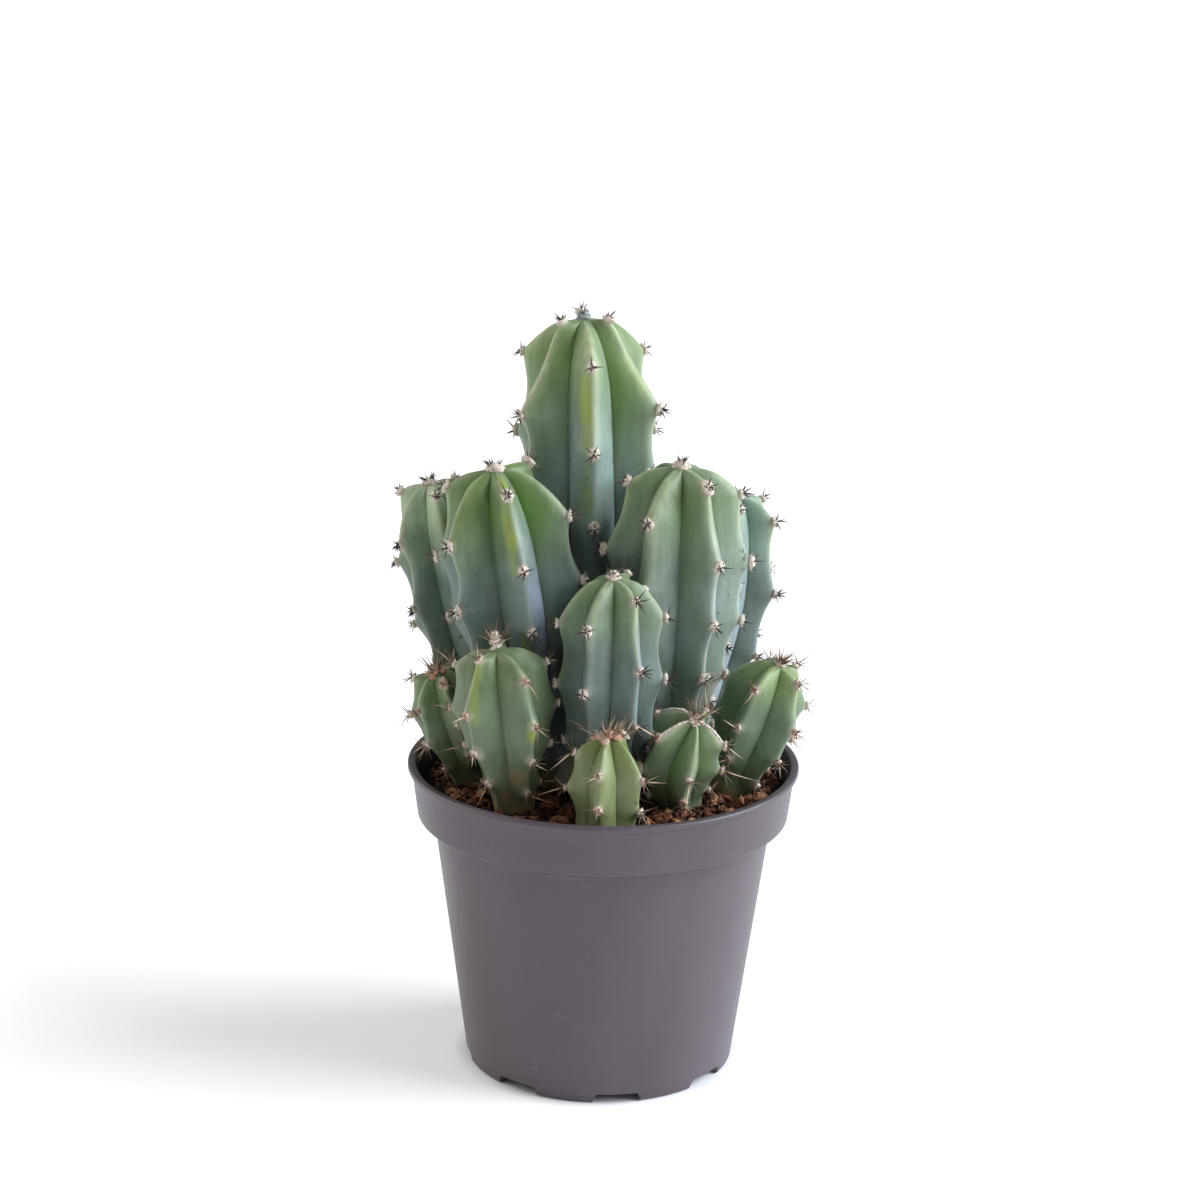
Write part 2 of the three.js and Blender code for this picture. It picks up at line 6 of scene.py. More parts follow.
import bmesh
import bpy
import numpy as np
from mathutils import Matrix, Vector


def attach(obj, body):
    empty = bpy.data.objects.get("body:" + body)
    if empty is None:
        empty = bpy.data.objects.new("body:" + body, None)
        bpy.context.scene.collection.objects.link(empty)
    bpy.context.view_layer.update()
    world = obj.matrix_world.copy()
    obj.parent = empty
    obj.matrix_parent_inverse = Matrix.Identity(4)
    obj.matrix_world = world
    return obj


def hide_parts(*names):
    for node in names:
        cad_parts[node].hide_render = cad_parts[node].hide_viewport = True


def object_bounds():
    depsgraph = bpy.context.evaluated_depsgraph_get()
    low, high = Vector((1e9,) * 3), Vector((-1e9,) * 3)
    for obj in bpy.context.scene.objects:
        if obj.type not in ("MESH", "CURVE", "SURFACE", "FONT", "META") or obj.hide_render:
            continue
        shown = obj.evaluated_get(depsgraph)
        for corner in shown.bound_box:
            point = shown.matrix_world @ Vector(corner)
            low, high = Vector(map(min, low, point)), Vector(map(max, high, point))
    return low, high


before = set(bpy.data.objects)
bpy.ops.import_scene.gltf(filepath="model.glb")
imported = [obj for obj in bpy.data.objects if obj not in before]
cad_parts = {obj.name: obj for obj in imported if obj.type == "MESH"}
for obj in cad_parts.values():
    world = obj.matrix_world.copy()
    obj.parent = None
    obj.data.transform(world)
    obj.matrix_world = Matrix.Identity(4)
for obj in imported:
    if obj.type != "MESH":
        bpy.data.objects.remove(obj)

cad_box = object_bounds()

# ---- The studio ----
# The plant stands on a white paper sweep that glows a little, though not in the pot's own shade. A
# wide bank of cool light on the right lights it, and a weaker one on the left and a white room fill
# it. The camera is a metre away, a little above.

MM = 0.001
FLOOR_SIZE = 16000
FLOOR_WHITE = "#f3f3f3"
FLOOR_GLOW = 0.28
SHADE_RADII = (39.5, 46)  # between which the glow comes in, from under the pot outwards
CAMERA_TARGET = (-1.83, 0, 147)
CAMERA_DISTANCE = 1000
CAMERA_ELEVATION = 16.7
CAMERA_ROLL = 0.93
CAMERA_LENS = 99.15
CAMERA_SENSOR = 36
SKY_COLOUR = "#fdfcff"
SKY_STRENGTH = 0.3
# Each bank of light: name, bearing from the front towards +X and height in degrees, how wide it is
# seen from the plant, colour, strength.
LIGHTS = [
    ("bank_right", 86, 29, 50, "#eff5ff", 5.2),
    ("bank_left", -108, 30, 60, "#fffaf6", 1.45),
]


def linear(hex_colour):
    """The linear RGBA of an sRGB hex colour."""
    shares = [int(hex_colour[i : i + 2], 16) / 255 for i in (1, 3, 5)]
    return [c / 12.92 if c <= 0.04045 else ((c + 0.055) / 1.055) ** 2.4 for c in shares] + [1]


def add_node(tree, kind, inputs=None, **settings):
    """Adds a node with its settings. inputs gives each socket a number, a hex colour, the output that
    feeds it, or a node whose first output in use feeds it."""
    node = tree.nodes.new("ShaderNode" + kind)
    for name, value in settings.items():
        setattr(node, name, value)
    for socket, value in (inputs or {}).items():
        if isinstance(value, bpy.types.Node):
            value = next(output for output in value.outputs if output.enabled)
        if isinstance(value, bpy.types.NodeSocket):
            tree.links.new(value, node.inputs[socket])
        else:
            node.inputs[socket].default_value = linear(value) if isinstance(value, str) else value
    return node


def new_material(name):
    """An empty node material, its tree, and the place of a point on the object in metres."""
    material = bpy.data.materials.new(name)
    material.use_nodes = True
    tree = material.node_tree
    tree.nodes.clear()
    return material, tree, add_node(tree, "TexCoord").outputs["Object"]


def finish_material(tree, inputs):
    """Adds the shader with its inputs, and puts it on the surface."""
    shader = add_node(tree, "BsdfPrincipled", inputs)
    add_node(tree, "OutputMaterial", {"Surface": shader})


def new_piece(name, points, faces, material, smooth=True, **values):
    """A mesh from points in millimetres, with each of values stored as a number on every point."""
    mesh = bpy.data.meshes.new(name)
    mesh.from_pydata(np.asarray(points) * MM, [], [list(face) for face in faces])
    mesh.polygons.foreach_set("use_smooth", [smooth] * len(mesh.polygons))
    for key, numbers in values.items():
        layer = mesh.attributes.new(key, "FLOAT", "POINT")
        layer.data.foreach_set("value", np.asarray(numbers, dtype=np.float32))
    mesh.materials.append(material)
    piece = bpy.data.objects.new(name, mesh)
    bpy.context.scene.collection.objects.link(piece)
    return piece


paper, tree, place = new_material("matt_white_paper")
from_axis = add_node(tree, "VectorMath", {0: place}, operation="LENGTH")
glow = add_node(tree, "MapRange", {"Value": from_axis, "From Min": SHADE_RADII[0] * MM,
                                   "From Max": SHADE_RADII[1] * MM, "To Max": FLOOR_GLOW})
finish_material(tree, {"Base Color": FLOOR_WHITE, "Roughness": 0.9,
                       "Emission Color": FLOOR_WHITE, "Emission Strength": glow})
reach = FLOOR_SIZE / 2
corners = [(-reach, -reach, 0), (reach, -reach, 0), (reach, reach, 0), (-reach, reach, 0)]
new_piece("floor", corners, [(0, 1, 2, 3)], paper)

world = bpy.data.worlds.new("soft_white_room")
world.use_nodes = True
sky = world.node_tree.nodes["Background"]
sky.inputs["Color"].default_value = linear(SKY_COLOUR)
sky.inputs["Strength"].default_value = SKY_STRENGTH
bpy.context.scene.world = world

for name, bearing, height, width, colour, strength in LIGHTS:
    lamp = bpy.data.lights.new(name, "SUN")
    lamp.angle = np.radians(width)
    lamp.color = linear(colour)[:3]
    lamp.energy = strength
    light = bpy.data.objects.new(name, lamp)
    light.rotation_euler = (np.radians(90 - height), 0, np.radians(bearing))
    bpy.context.scene.collection.objects.link(light)

target = Vector(CAMERA_TARGET) * MM

lens = bpy.data.cameras.new("camera")
lens.lens = CAMERA_LENS
lens.sensor_width = CAMERA_SENSOR
camera = bpy.data.objects.new("camera", lens)
elevation = np.radians(CAMERA_ELEVATION)
backwards = Vector((0, -np.cos(elevation), np.sin(elevation)))
camera.location = target + backwards * CAMERA_DISTANCE * MM
camera.rotation_euler = (np.pi / 2 - elevation, 0, 0)
camera.rotation_euler.rotate_axis("Z", np.radians(CAMERA_ROLL))
bpy.context.scene.collection.objects.link(camera)
bpy.context.scene.camera = camera
bpy.context.scene.view_settings.view_transform = "Standard"

# ---- The pot ----
# A 12 cm nursery pot, injection moulded in recycled polypropylene: thin tapered wall, deep collar
# with a rolled lip, floor raised on a notched foot ring, eight drain holes and a gate mark below.

POT_HEIGHT = 96
RIM_RADIUS = 60
LIP_HEIGHT = 1.8
LIP_OVERHANG = 1.1
COLLAR_FOOT_RADIUS = 57
COLLAR_FOOT_HEIGHT = 80
SHOULDER_RADIUS = 51.8
SHOULDER_HEIGHT = 77
BASE_RADIUS = 41.5
BASE_ROUNDING = 1.2
WALL = 1.5
FLOOR_UNDERSIDE = 3.4
FOOT_RING_WIDTH = 3.2
NOTCH_COUNT = 8
NOTCH_ANGLE = 20
NOTCH_HEIGHT = 3
NOTCH_CORNER = 1.3
NOTCH_REACH = 1  # how far a notch runs in past the foot ring
FIRST_NOTCH_ANGLE = 8  # from the front towards +X
DRAIN_HOLE_RADIUS = 4
DRAIN_HOLE_CIRCLE = 29
DRILL_PAST = 2  # how far a drain hole's cutter runs past the floor
SHARP_FROM = 40  # degrees between two faces whose edge stays sharp
POT_COLUMNS = 480
POT_COLOUR = "#4d454b"
POT_WORN_COLOUR = "#61575e"
POT_DUST_COLOUR = "#6f625c"
POT_SCUFF_COLOUR = "#817880"
SHARE, UNDER, OVER = 0, 6, 7  # a Mix node's sockets: share of the upper colour, and both colours


def arc(centre, radius, start, end, steps):
    """Points of an arc in an outline, from angle start to end in degrees."""
    turns = np.radians(np.linspace(start, end, steps))
    return [(centre[0] + radius * np.cos(t), centre[1] + radius * np.sin(t)) for t in turns]


def pot_outline():
    """Radius and height of the pot's section, from the middle of its underside round to its floor.
    The gate mark, the mould's step and the roundings are drawn at their own small sizes."""
    lip_foot = POT_HEIGHT - LIP_HEIGHT
    collar_top = RIM_RADIUS - LIP_OVERHANG
    ring_inner = BASE_RADIUS - FOOT_RING_WIDTH
    floor_top = FLOOR_UNDERSIDE + WALL
    taper = (SHOULDER_RADIUS - BASE_RADIUS) / (SHOULDER_HEIGHT - BASE_ROUNDING)
    foot_wall = [(BASE_RADIUS + taper * h, BASE_ROUNDING + h) for h in (0, 0.5, 1, 1.5, 1.8, 2.2)]
    gate_mark = [(0, 2.9), (1.6, 2.9), (2, FLOOR_UNDERSIDE - 0.1), (2.4, FLOOR_UNDERSIDE)]
    mould_step = [(20, FLOOR_UNDERSIDE), (20.3, 3.1), (22.7, 3.1), (23, FLOOR_UNDERSIDE)]
    return np.array(
        gate_mark + mould_step
        + [(ring_inner - 1.4, FLOOR_UNDERSIDE), (ring_inner - 0.8, FLOOR_UNDERSIDE - 0.3)]
        + arc((ring_inner + 0.7, 0.7), 0.7, 180, 270, 4)
        + arc((BASE_RADIUS - BASE_ROUNDING, BASE_ROUNDING), BASE_ROUNDING, 270, 350, 5)
        + foot_wall
        + [(BASE_RADIUS + taper * h, BASE_ROUNDING + h) for h in (20, 40, 60, 73.5)]
        + arc((SHOULDER_RADIUS + 0.95, SHOULDER_HEIGHT - 0.75), 1.1, 170, 115, 5)
        + arc((COLLAR_FOOT_RADIUS - 1.1, COLLAR_FOOT_HEIGHT + 0.35), 1.1, 300, 350, 5)
        + [(COLLAR_FOOT_RADIUS + 0.6, 85), (COLLAR_FOOT_RADIUS + 1.25, 90)]
        + [(collar_top - 0.1, lip_foot - 0.6), (collar_top + 0.1, lip_foot - 0.1)]
        + arc((RIM_RADIUS - 0.7, lip_foot + 0.6), 0.7, 280, 350, 4)
        + arc((RIM_RADIUS - 0.8, POT_HEIGHT - 0.8), 0.8, 10, 90, 6)
        + arc((collar_top - WALL + 0.7, POT_HEIGHT - 0.7), 0.7, 100, 180, 5)
        + [(COLLAR_FOOT_RADIUS - WALL, COLLAR_FOOT_HEIGHT + 1)]
        + [(SHOULDER_RADIUS - WALL, SHOULDER_HEIGHT + 0.6)]
        + arc((BASE_RADIUS - WALL - 1, floor_top + 1), 1, 0, -90, 4)
        + [(0, floor_top)]
    )


def notch_heights(turns):
    """How high the foot ring is cut away at each angle from the front, with rounded corners."""
    pitch = 360 / NOTCH_COUNT
    from_middle = np.abs((turns - FIRST_NOTCH_ANGLE + pitch / 2) % pitch - pitch / 2)
    inside = np.radians(NOTCH_ANGLE / 2 - from_middle) * BASE_RADIUS
    rounding = 1 - np.clip(1 - inside / NOTCH_CORNER, 0, 1) ** 2
    return NOTCH_HEIGHT * np.sqrt(rounding) * (inside > 0)


def apply_modifiers(piece):
    """Makes what the piece's modifiers show its own mesh."""
    shown = piece.evaluated_get(bpy.context.evaluated_depsgraph_get())
    piece.data = bpy.data.meshes.new_from_object(shown)
    piece.modifiers.clear()


def cut_away(piece, cutters):
    """Takes closed solids, each a list of points and faces, out of a piece."""
    points, faces = join(cutters)
    cutter = new_piece("cutter", points, faces, piece.data.materials[0])
    cut = piece.modifiers.new("cut", "BOOLEAN")
    cut.operation = "DIFFERENCE"
    cut.solver = "EXACT"
    cut.object = cutter
    apply_modifiers(piece)
    bpy.data.objects.remove(cutter)


def join(solids):
    """The points and faces of several meshes as one."""
    points, faces, start = [], [], 0
    for own_points, own_faces in solids:
        points.append(own_points)
        faces += [[start + corner for corner in face] for face in own_faces]
        start += len(own_points)
    return np.concatenate(points), faces


def unit(vectors):
    """The vectors at a length of 1."""
    return vectors / np.linalg.norm(vectors, axis=-1, keepdims=True)


def cylinder(start, end, radius, sides=40):
    """A closed cylinder between the middles of its two ends."""
    start, end = np.array(start, dtype=float), np.array(end, dtype=float)
    axis = unit(end - start)
    side = unit(np.cross((0, 1, 0), axis))
    turns = np.linspace(0, 2 * np.pi, sides, endpoint=False)[:, None]
    ring = radius * (np.cos(turns) * side + np.sin(turns) * np.cross(axis, side))
    walls = [(i, (i + 1) % sides, sides + (i + 1) % sides, sides + i) for i in range(sides)]
    caps = [tuple(range(sides))[::-1], tuple(range(sides, 2 * sides))]
    return np.concatenate([start + ring, end + ring]), walls + caps


def grid_faces(rows, columns):
    """Faces between rows of points, each row a closed ring, with outsides facing out when the rows
    go up and the columns anticlockwise."""
    row, column = np.meshgrid(np.arange(rows - 1), np.arange(columns), indexing="ij")
    a = row * columns + column
    b = row * columns + (column + 1) % columns
    return np.stack([a, b, b + columns, a + columns], axis=-1).reshape(-1, 4).tolist()


def closed_tube(rings, start, end):
    """Points and faces of a tube of rings, closed to a middle point at its start and its end."""
    rows, columns = rings.shape[:2]
    faces = grid_faces(rows, columns)
    first, last, last_row = rows * columns, rows * columns + 1, (rows - 1) * columns
    for i in range(columns):
        j = (i + 1) % columns
        faces += [(first, j, i), (last, last_row + i, last_row + j)]
    return np.concatenate([rings.reshape(-1, 3), [start, end]]), faces


def cover(tree, under, over, value, low=0, high=1, most=1):
    """Lays a colour over another where value goes from low to high, up to the share most."""
    share = add_node(tree, "MapRange",
                     {"Value": value, "From Min": low, "From Max": high, "To Max": most})
    return add_node(tree, "Mix", {SHARE: share, UNDER: under, OVER: over}, data_type="RGBA")


def moulded_polypropylene():
    """Matt recycled polypropylene from an etched mould: a soft broad gloss, faint flow clouds and
    streaks, dust on it, and small pale scuffs. The real etching, about 0.1 mm, is drawn at 0.6 mm."""
    material, tree, place = new_material("moulded_polypropylene")
    flow_place = add_node(tree, "Mapping", {"Vector": place, "Scale": (1, 1, 0.25)})
    flow = add_node(tree, "TexNoise", {"Vector": flow_place, "Scale": 1 / (24 * MM), "Detail": 4})
    dust = add_node(tree, "TexNoise",
                    {"Vector": place, "Scale": 1 / (2.2 * MM), "Detail": 6, "Roughness": 0.7})
    scuff_place = add_node(tree, "Mapping",
                           {"Vector": place, "Scale": (1, 1, 3.5), "Rotation": (0.35, 0.2, 0)})
    scuff = add_node(tree, "TexNoise", {"Vector": scuff_place, "Scale": 1 / (5 * MM), "Detail": 8})
    etching = add_node(tree, "TexNoise", {"Vector": place, "Scale": 1 / (0.6 * MM), "Detail": 3})
    colour = cover(tree, POT_COLOUR, POT_WORN_COLOUR, flow, 0.35, 0.7, 0.35)
    colour = cover(tree, colour, POT_DUST_COLOUR, dust, 0.62, 0.8, 0.5)
    colour = cover(tree, colour, POT_SCUFF_COLOUR, scuff, 0.66, 0.78, 0.3)
    gloss = add_node(tree, "MapRange", {"Value": flow, "From Min": 0.3, "From Max": 0.7,
                                        "To Min": 0.37, "To Max": 0.47})
    relief = add_node(tree, "Bump", {"Height": etching, "Strength": 0.12, "Distance": 0.1 * MM})
    waves = add_node(tree, "Bump",
                     {"Height": flow, "Strength": 0.25, "Distance": 0.8 * MM, "Normal": relief})
    finish_material(tree, {"Base Color": colour, "Roughness": gloss, "Normal": waves, "IOR": 1.49})
    return material


outline = pot_outline()
turns = np.arange(POT_COLUMNS) * 360 / POT_COLUMNS
radii = np.repeat(outline[:, :1], POT_COLUMNS, axis=1)
heights = np.repeat(outline[:, 1:], POT_COLUMNS, axis=1)
foot = (outline[:, 0] > BASE_RADIUS - FOOT_RING_WIDTH - NOTCH_REACH)[:, None]
heights = np.where(foot, np.maximum(heights, notch_heights(turns)[None, :]), heights)
across = np.radians(turns)[None, :]
rings = np.stack([radii * np.sin(across), -radii * np.cos(across), heights], axis=-1)
points, faces = closed_tube(rings[1:-1], (0, 0, outline[0, 1]), (0, 0, outline[-1, 1]))
pot = new_piece("moulded_pot", points, faces, moulded_polypropylene())
drain_holes = []
for number in range(NOTCH_COUNT):
    turn = np.radians(FIRST_NOTCH_ANGLE + number * 360 / NOTCH_COUNT)
    x, y = DRAIN_HOLE_CIRCLE * np.sin(turn), -DRAIN_HOLE_CIRCLE * np.cos(turn)
    drain_holes.append(cylinder((x, y, FLOOR_UNDERSIDE - DRILL_PAST),
                                (x, y, FLOOR_UNDERSIDE + WALL + DRILL_PAST), DRAIN_HOLE_RADIUS))
cut_away(pot, drain_holes)
pot.data.set_sharp_from_angle(angle=np.radians(SHARP_FROM))
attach(pot, "root")
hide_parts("pot")

# ---- The stems' form ----
# Eleven stems of one clump: upright columns of five or six ribs, pinched where they leave the soil
# and domed at the tip. The ribs swell under each areole, the woolly spot that spines grow from.

# A course is a place up a stem: 0 to 1 from the soil to where the dome starts, 1 to 2 over the dome.

SOIL_LEVEL = 90
STEM_DEPTH = 8
TUBERCLE_HEIGHT = 2.4  # how far a full-sized rib stands out at an areole
GROWN_RADIUS = 20  # of a stem whose ribs stand out in full
THIN_STEM = 0.5  # and the least that they stand out on a thin one
SAG = 0.125  # how deep a crest sags between two areoles, as a share of the way between them
CROWN_SAG = 0.06  # and how much deeper over the dome
TIP_SAG = 0.4  # how much of that there is above the topmost areoles
CROWN_COURSES = (0.8, 1.2)  # courses between which the crown sag sets in
TIP_COURSE = 1.65  # course from which the ribs die away to the tip
SAG_FROM = 0.12  # share of the stem's length
CREST_ROUNDING = 0.1  # share of the way to the furrow over which a crest is rounded
CROWN_ROUNDING = 0.28
RELIEF_ROUNDING = 0.12
ROUNDER_AT = (0.7, 1.2)  # courses between which the crests get rounder
FLATNESS = 0.7  # 1 for flat flanks, 0 for bulging ones
BULGE_POWER = 1.5
ARM_STEM = "stem_young_right"  # its crown has pale woolly crests
ARM_RIBS = (1, 3, 4)
FOOT_RIB_DEPTH, RIB_DEPTH = 0.1, 0.36
RIBS_FULL_AT = 0.35  # share of the height where the ribs reach their depth
RIBS_DEEPEN_AT = 0.6
SWELL_FROM = 0.06
CREASE_DEPTH = 0.12  # the sharp line at the bottom of a furrow
CREASE_WIDTH = 0.05
MOST_AREOLES = 12  # on one rib
LOWEST_AREOLE = 5  # above the soil
UNEVEN_DEPTH = 0.22  # of the faint waves in the flanks
UNEVEN_LENGTHS = (5.3, 9.7)  # of the waves, as the way up the stem for one radian
UNEVEN_SHIFTS = (2.1, 1.7)  # radians between the waves of two ribs
WANDER = 1.1  # degrees that a rib strays to either side
WANDER_LENGTH = 17
STEM_SHIFT = 3.1  # radians between the waves of two stems
SETTLED_SHARE, SETTLED_RADIUS = 0.15, 8  # up to where the waves grow from the soil and the tip
PROBE_COURSE, PROBE_ANGLE = 0.02, 2  # how far off a point the skin is felt for its direction
PROBE_TOP = 1.9  # course above which the skin is taken to face the way that it does there

# Lengths in millimetres, angles in degrees from the front towards +X. full is the share of the
# length where the stem gets full, power how square the dome is, 2 where it is round, tip_depth the
# furrows' depth at the tip, first the distance of the topmost areoles below the tip, space their
# spacing, shrink how much each space is shorter than the one above, and starts where each rib's
# areoles start as a share of a space. spine is the length of the spines.
Stem = namedtuple("Stem", [
    "name", "foot", "tip", "bow", "ribs", "turn", "foot_radius", "radius", "full", "dome", "power",
    "tip_depth", "first", "space", "shrink", "starts", "spine",
])
STEMS = [
    Stem("stem_tall_back", (-4, 33), (-8, 33, 227), 0.7, 6, 5, 13, 22.3, 0.6, 27, 2.05, 0.46,
         1.5, 26, 1.5, (0.42, 0, 0.5, 0, 0.44, 0), 4.2),
    Stem("stem_tall_left", (-17, 2), (-34, -1, 188), -0.6, 6, 13, 11, 20.3, 0.62, 26, 2.15, 0.46,
         2, 20.5, 0.6, (0.22, 0.74, 0.1, 0.6, 0.24, 0.82), 4),
    Stem("stem_tall_right", (18, 6), (22, 2, 189), 0.6, 6, 33, 11, 20, 0.68, 26, 2.15, 0.46,
         3, 21, 1.2, (0.1, 0.33, 0.8, 0.3, 0.2, 0.55), 4),
    Stem("stem_far_left", (-33, 27), (-54.8, 25, 176.5), -2, 6, 12, 8, 14.2, 0.6, 18, 2.15, 0.46,
         1.5, 22, 1, (0.1, 0.6, 0.1, 0.6, 0.1, 0.65), 2.9),
    Stem("stem_far_right", (28, 36), (40, 38, 170.5), 3, 6, 5, 7, 14.2, 0.64, 18, 2.15, 0.46,
         1.5, 22, 1, (0.1, 0.28, 0.1, 0.6, 0.1, 0.6), 3.6),
    Stem("stem_middle", (1, -21), (2, -23, 161), 0, 6, 33, 9.5, 14.6, 0.55, 18, 2.15, 0.46,
         1, 20, 1, (0.22, 0.6, 0.1, 0.5, 0.7, 0.6), 4.5),
    Stem("stem_low_left", (-26.5, -28), (-32, -32, 141), 0, 5, 34, 6.5, 15, 0.62, 15, 2.15, 0.5,
         1, 13.5, 0.6, (0.45, 0.5, 0.2, 0.4, 0.05), 5.5),
    Stem("stem_low_far_left", (-40.5, -4), (-51, -12, 127.5), 0, 6, 22, 6, 10.6, 0.55, 12, 2.15, 0.5,
         1, 12, 0.5, (0.1, 0.6, 0.1, 0.6, 0.1, 0.6), 6),
    Stem("stem_low_right", (39, -8), (52.5, -14, 132), 0, 5, 40, 7, 12.8, 0.55, 14, 2.15, 0.5,
         1, 12.5, 0.5, (0.15, 0, 0.4, 0.8, 0.45), 6),
    Stem("stem_young_front", (1.2, -43.2), (1.2, -44.2, 118.7), 0, 5, -13, 9, 11.2, 0.5, 14, 1.9, 0.66,
         1, 10.5, 0.4, (0.75, 1.05, 0.1, 0.35, 0.45), 6.5),
    Stem("stem_young_right", (23, -21), (27, -39, 122.6), -2.5, 5, 7, 7, 11.4, 0.5, 12.5, 1.9, 0.74,
         1, 12, 0.4, (0.95, 0.5, 0.3, 0.75, 0.45), 7.5),
]


def smooth(x):
    """0 to 1, with a soft start and end."""
    x = np.clip(x, 0, 1)
    return x * x * (3 - 2 * x)


def length_of(stem):
    """The straight way from the middle of a stem's foot to its tip."""
    return np.linalg.norm(np.subtract(stem.tip, (*stem.foot, SOIL_LEVEL)))


def centre_line(stem, share):
    """Points of the centre line at shares of its length, with the directions along it, to its side
    and to its back."""
    share = np.asarray(share, dtype=float)[..., None]
    foot = np.array((*stem.foot, SOIL_LEVEL))
    rise = np.array(stem.tip) - foot
    sideways = np.array((1.0, 0, 0))
    point = foot + rise * share + 4 * stem.bow * share * (1 - share) * sideways
    along = unit(rise + 4 * stem.bow * (1 - 2 * share) * sideways)
    side = unit(sideways - along * along[..., :1])
    return point, along, side, np.cross(along, side)


def meridian(stem, course):
    """Share of the length, and radius over the ribs, at a course."""
    course = np.asarray(course, dtype=float)
    dome_start = 1 - stem.dome / length_of(stem)
    power = 2 / stem.power
    turn = np.clip(course - 1, 0, 1) * np.pi / 2
    on_dome = course > 1
    share = np.where(on_dome, dome_start + (1 - dome_start) * np.sin(turn) ** power, dome_start * course)
    swell = smooth((share - SWELL_FROM) / (stem.full - SWELL_FROM))
    body = stem.foot_radius + (stem.radius - stem.foot_radius) * swell
    return share, np.where(on_dome, stem.radius * np.cos(turn).clip(0) ** power, body)


def course_at(stem, share):
    """The course at a share of the length."""
    dome_start = 1 - stem.dome / length_of(stem)
    rise = np.clip((share - dome_start) / (1 - dome_start), 0, 1)
    on_dome = 1 + np.arcsin(rise ** (stem.power / 2)) * 2 / np.pi
    return np.where(share <= dome_start, share / dome_start, on_dome)


def rib_depth(stem, share):
    """How deep the furrows are at a share of the length, as a share of the radius."""
    body = FOOT_RIB_DEPTH + (RIB_DEPTH - FOOT_RIB_DEPTH) * np.clip(share / RIBS_FULL_AT, 0, 1)
    top = np.clip((share - RIBS_DEEPEN_AT) / (1 - RIBS_DEEPEN_AT), 0, 1)
    return body + (stem.tip_depth - RIB_DEPTH) * top


def from_crest(phase, rounding):
    """0 on a crest to 1 in a furrow, rounded over the crest."""
    return (np.hypot(phase, rounding) - rounding) / (np.hypot(1, rounding) - rounding)


def across_rib(stem, phase, depth, rounding):
    """How far out the skin lies between a crest and a furrow, as a share of the crest's radius."""
    half_rib = np.pi / stem.ribs
    rounded = from_crest(phase, rounding)
    turn = rounded * half_rib
    furrow = 1 - depth
    flat = furrow * np.sin(half_rib) / (np.sin(turn) + furrow * np.sin(half_rib - turn))
    bulging = 1 - depth * rounded**BULGE_POWER
    return FLATNESS * flat + (1 - FLATNESS) * bulging


def areoles_of(stem):
    """Courses and angles of a stem's areoles."""
    length = length_of(stem)
    found = []
    for rib, start in enumerate(stem.starts):
        for step in start + np.arange(MOST_AREOLES):
            below = stem.first + stem.space * step - stem.shrink * step * step / 2
            if below > length - LOWEST_AREOLE:
                break
            found.append((course_at(stem, 1 - below / length), stem.turn + 360 / stem.ribs * rib))
    return np.array(found)


def rib_phase(stem, angle):
    """-1 to 1 across a rib, 0 on its crest."""
    return 2 * (((angle - stem.turn) * stem.ribs / 360 + 0.5) % 1) - 1


def walk_along(stem, course):
    """The way along the skin from the soil, in millimetres."""
    body = length_of(stem) - stem.dome
    over_dome = np.pi / 2 * np.hypot(stem.dome, stem.radius) / np.sqrt(2)
    return body * np.minimum(course, 1) + over_dome * np.clip(course - 1, 0, 1)


def crest_relief(stem, course, angle):
    """How far the ribs stand out from the plain meridian. A crest runs from areole to areole in
    slightly hollow lines, so that it has a corner at each of them."""
    rib = np.round((angle - stem.turn) * stem.ribs / 360) % stem.ribs
    walk = walk_along(stem, course)
    areoles = areoles_of(stem)
    crown_start, crown_end = CROWN_COURSES
    own_rib = np.round((areoles[:, 1] - stem.turn) * stem.ribs / 360)
    sag = np.zeros_like(walk)
    for number in range(stem.ribs):
        stops = np.sort(walk_along(stem, areoles[own_rib == number, 0]))
        stops = np.concatenate([[0], stops, [walk_along(stem, 2)]])
        gap = np.searchsorted(stops, walk, side="right").clip(1, len(stops) - 1)
        way = stops[gap] - stops[gap - 1]
        part = (walk - stops[gap - 1]) / way
        depth = way * (SAG + CROWN_SAG * smooth((course - crown_start) / (crown_end - crown_start)))
        depth = depth * np.where(gap == len(stops) - 1, TIP_SAG, 1)
        sag = np.where(rib == number, 4 * part * (1 - part) * depth, sag)
    share, _ = meridian(stem, course)
    size = np.clip(stem.radius / GROWN_RADIUS, THIN_STEM, 1)
    across = 1 - from_crest(rib_phase(stem, angle), RELIEF_ROUNDING)
    top = smooth((2 - course) / (2 - TIP_COURSE))
    return (TUBERCLE_HEIGHT * size * top - sag) * across * smooth(share / SAG_FROM)


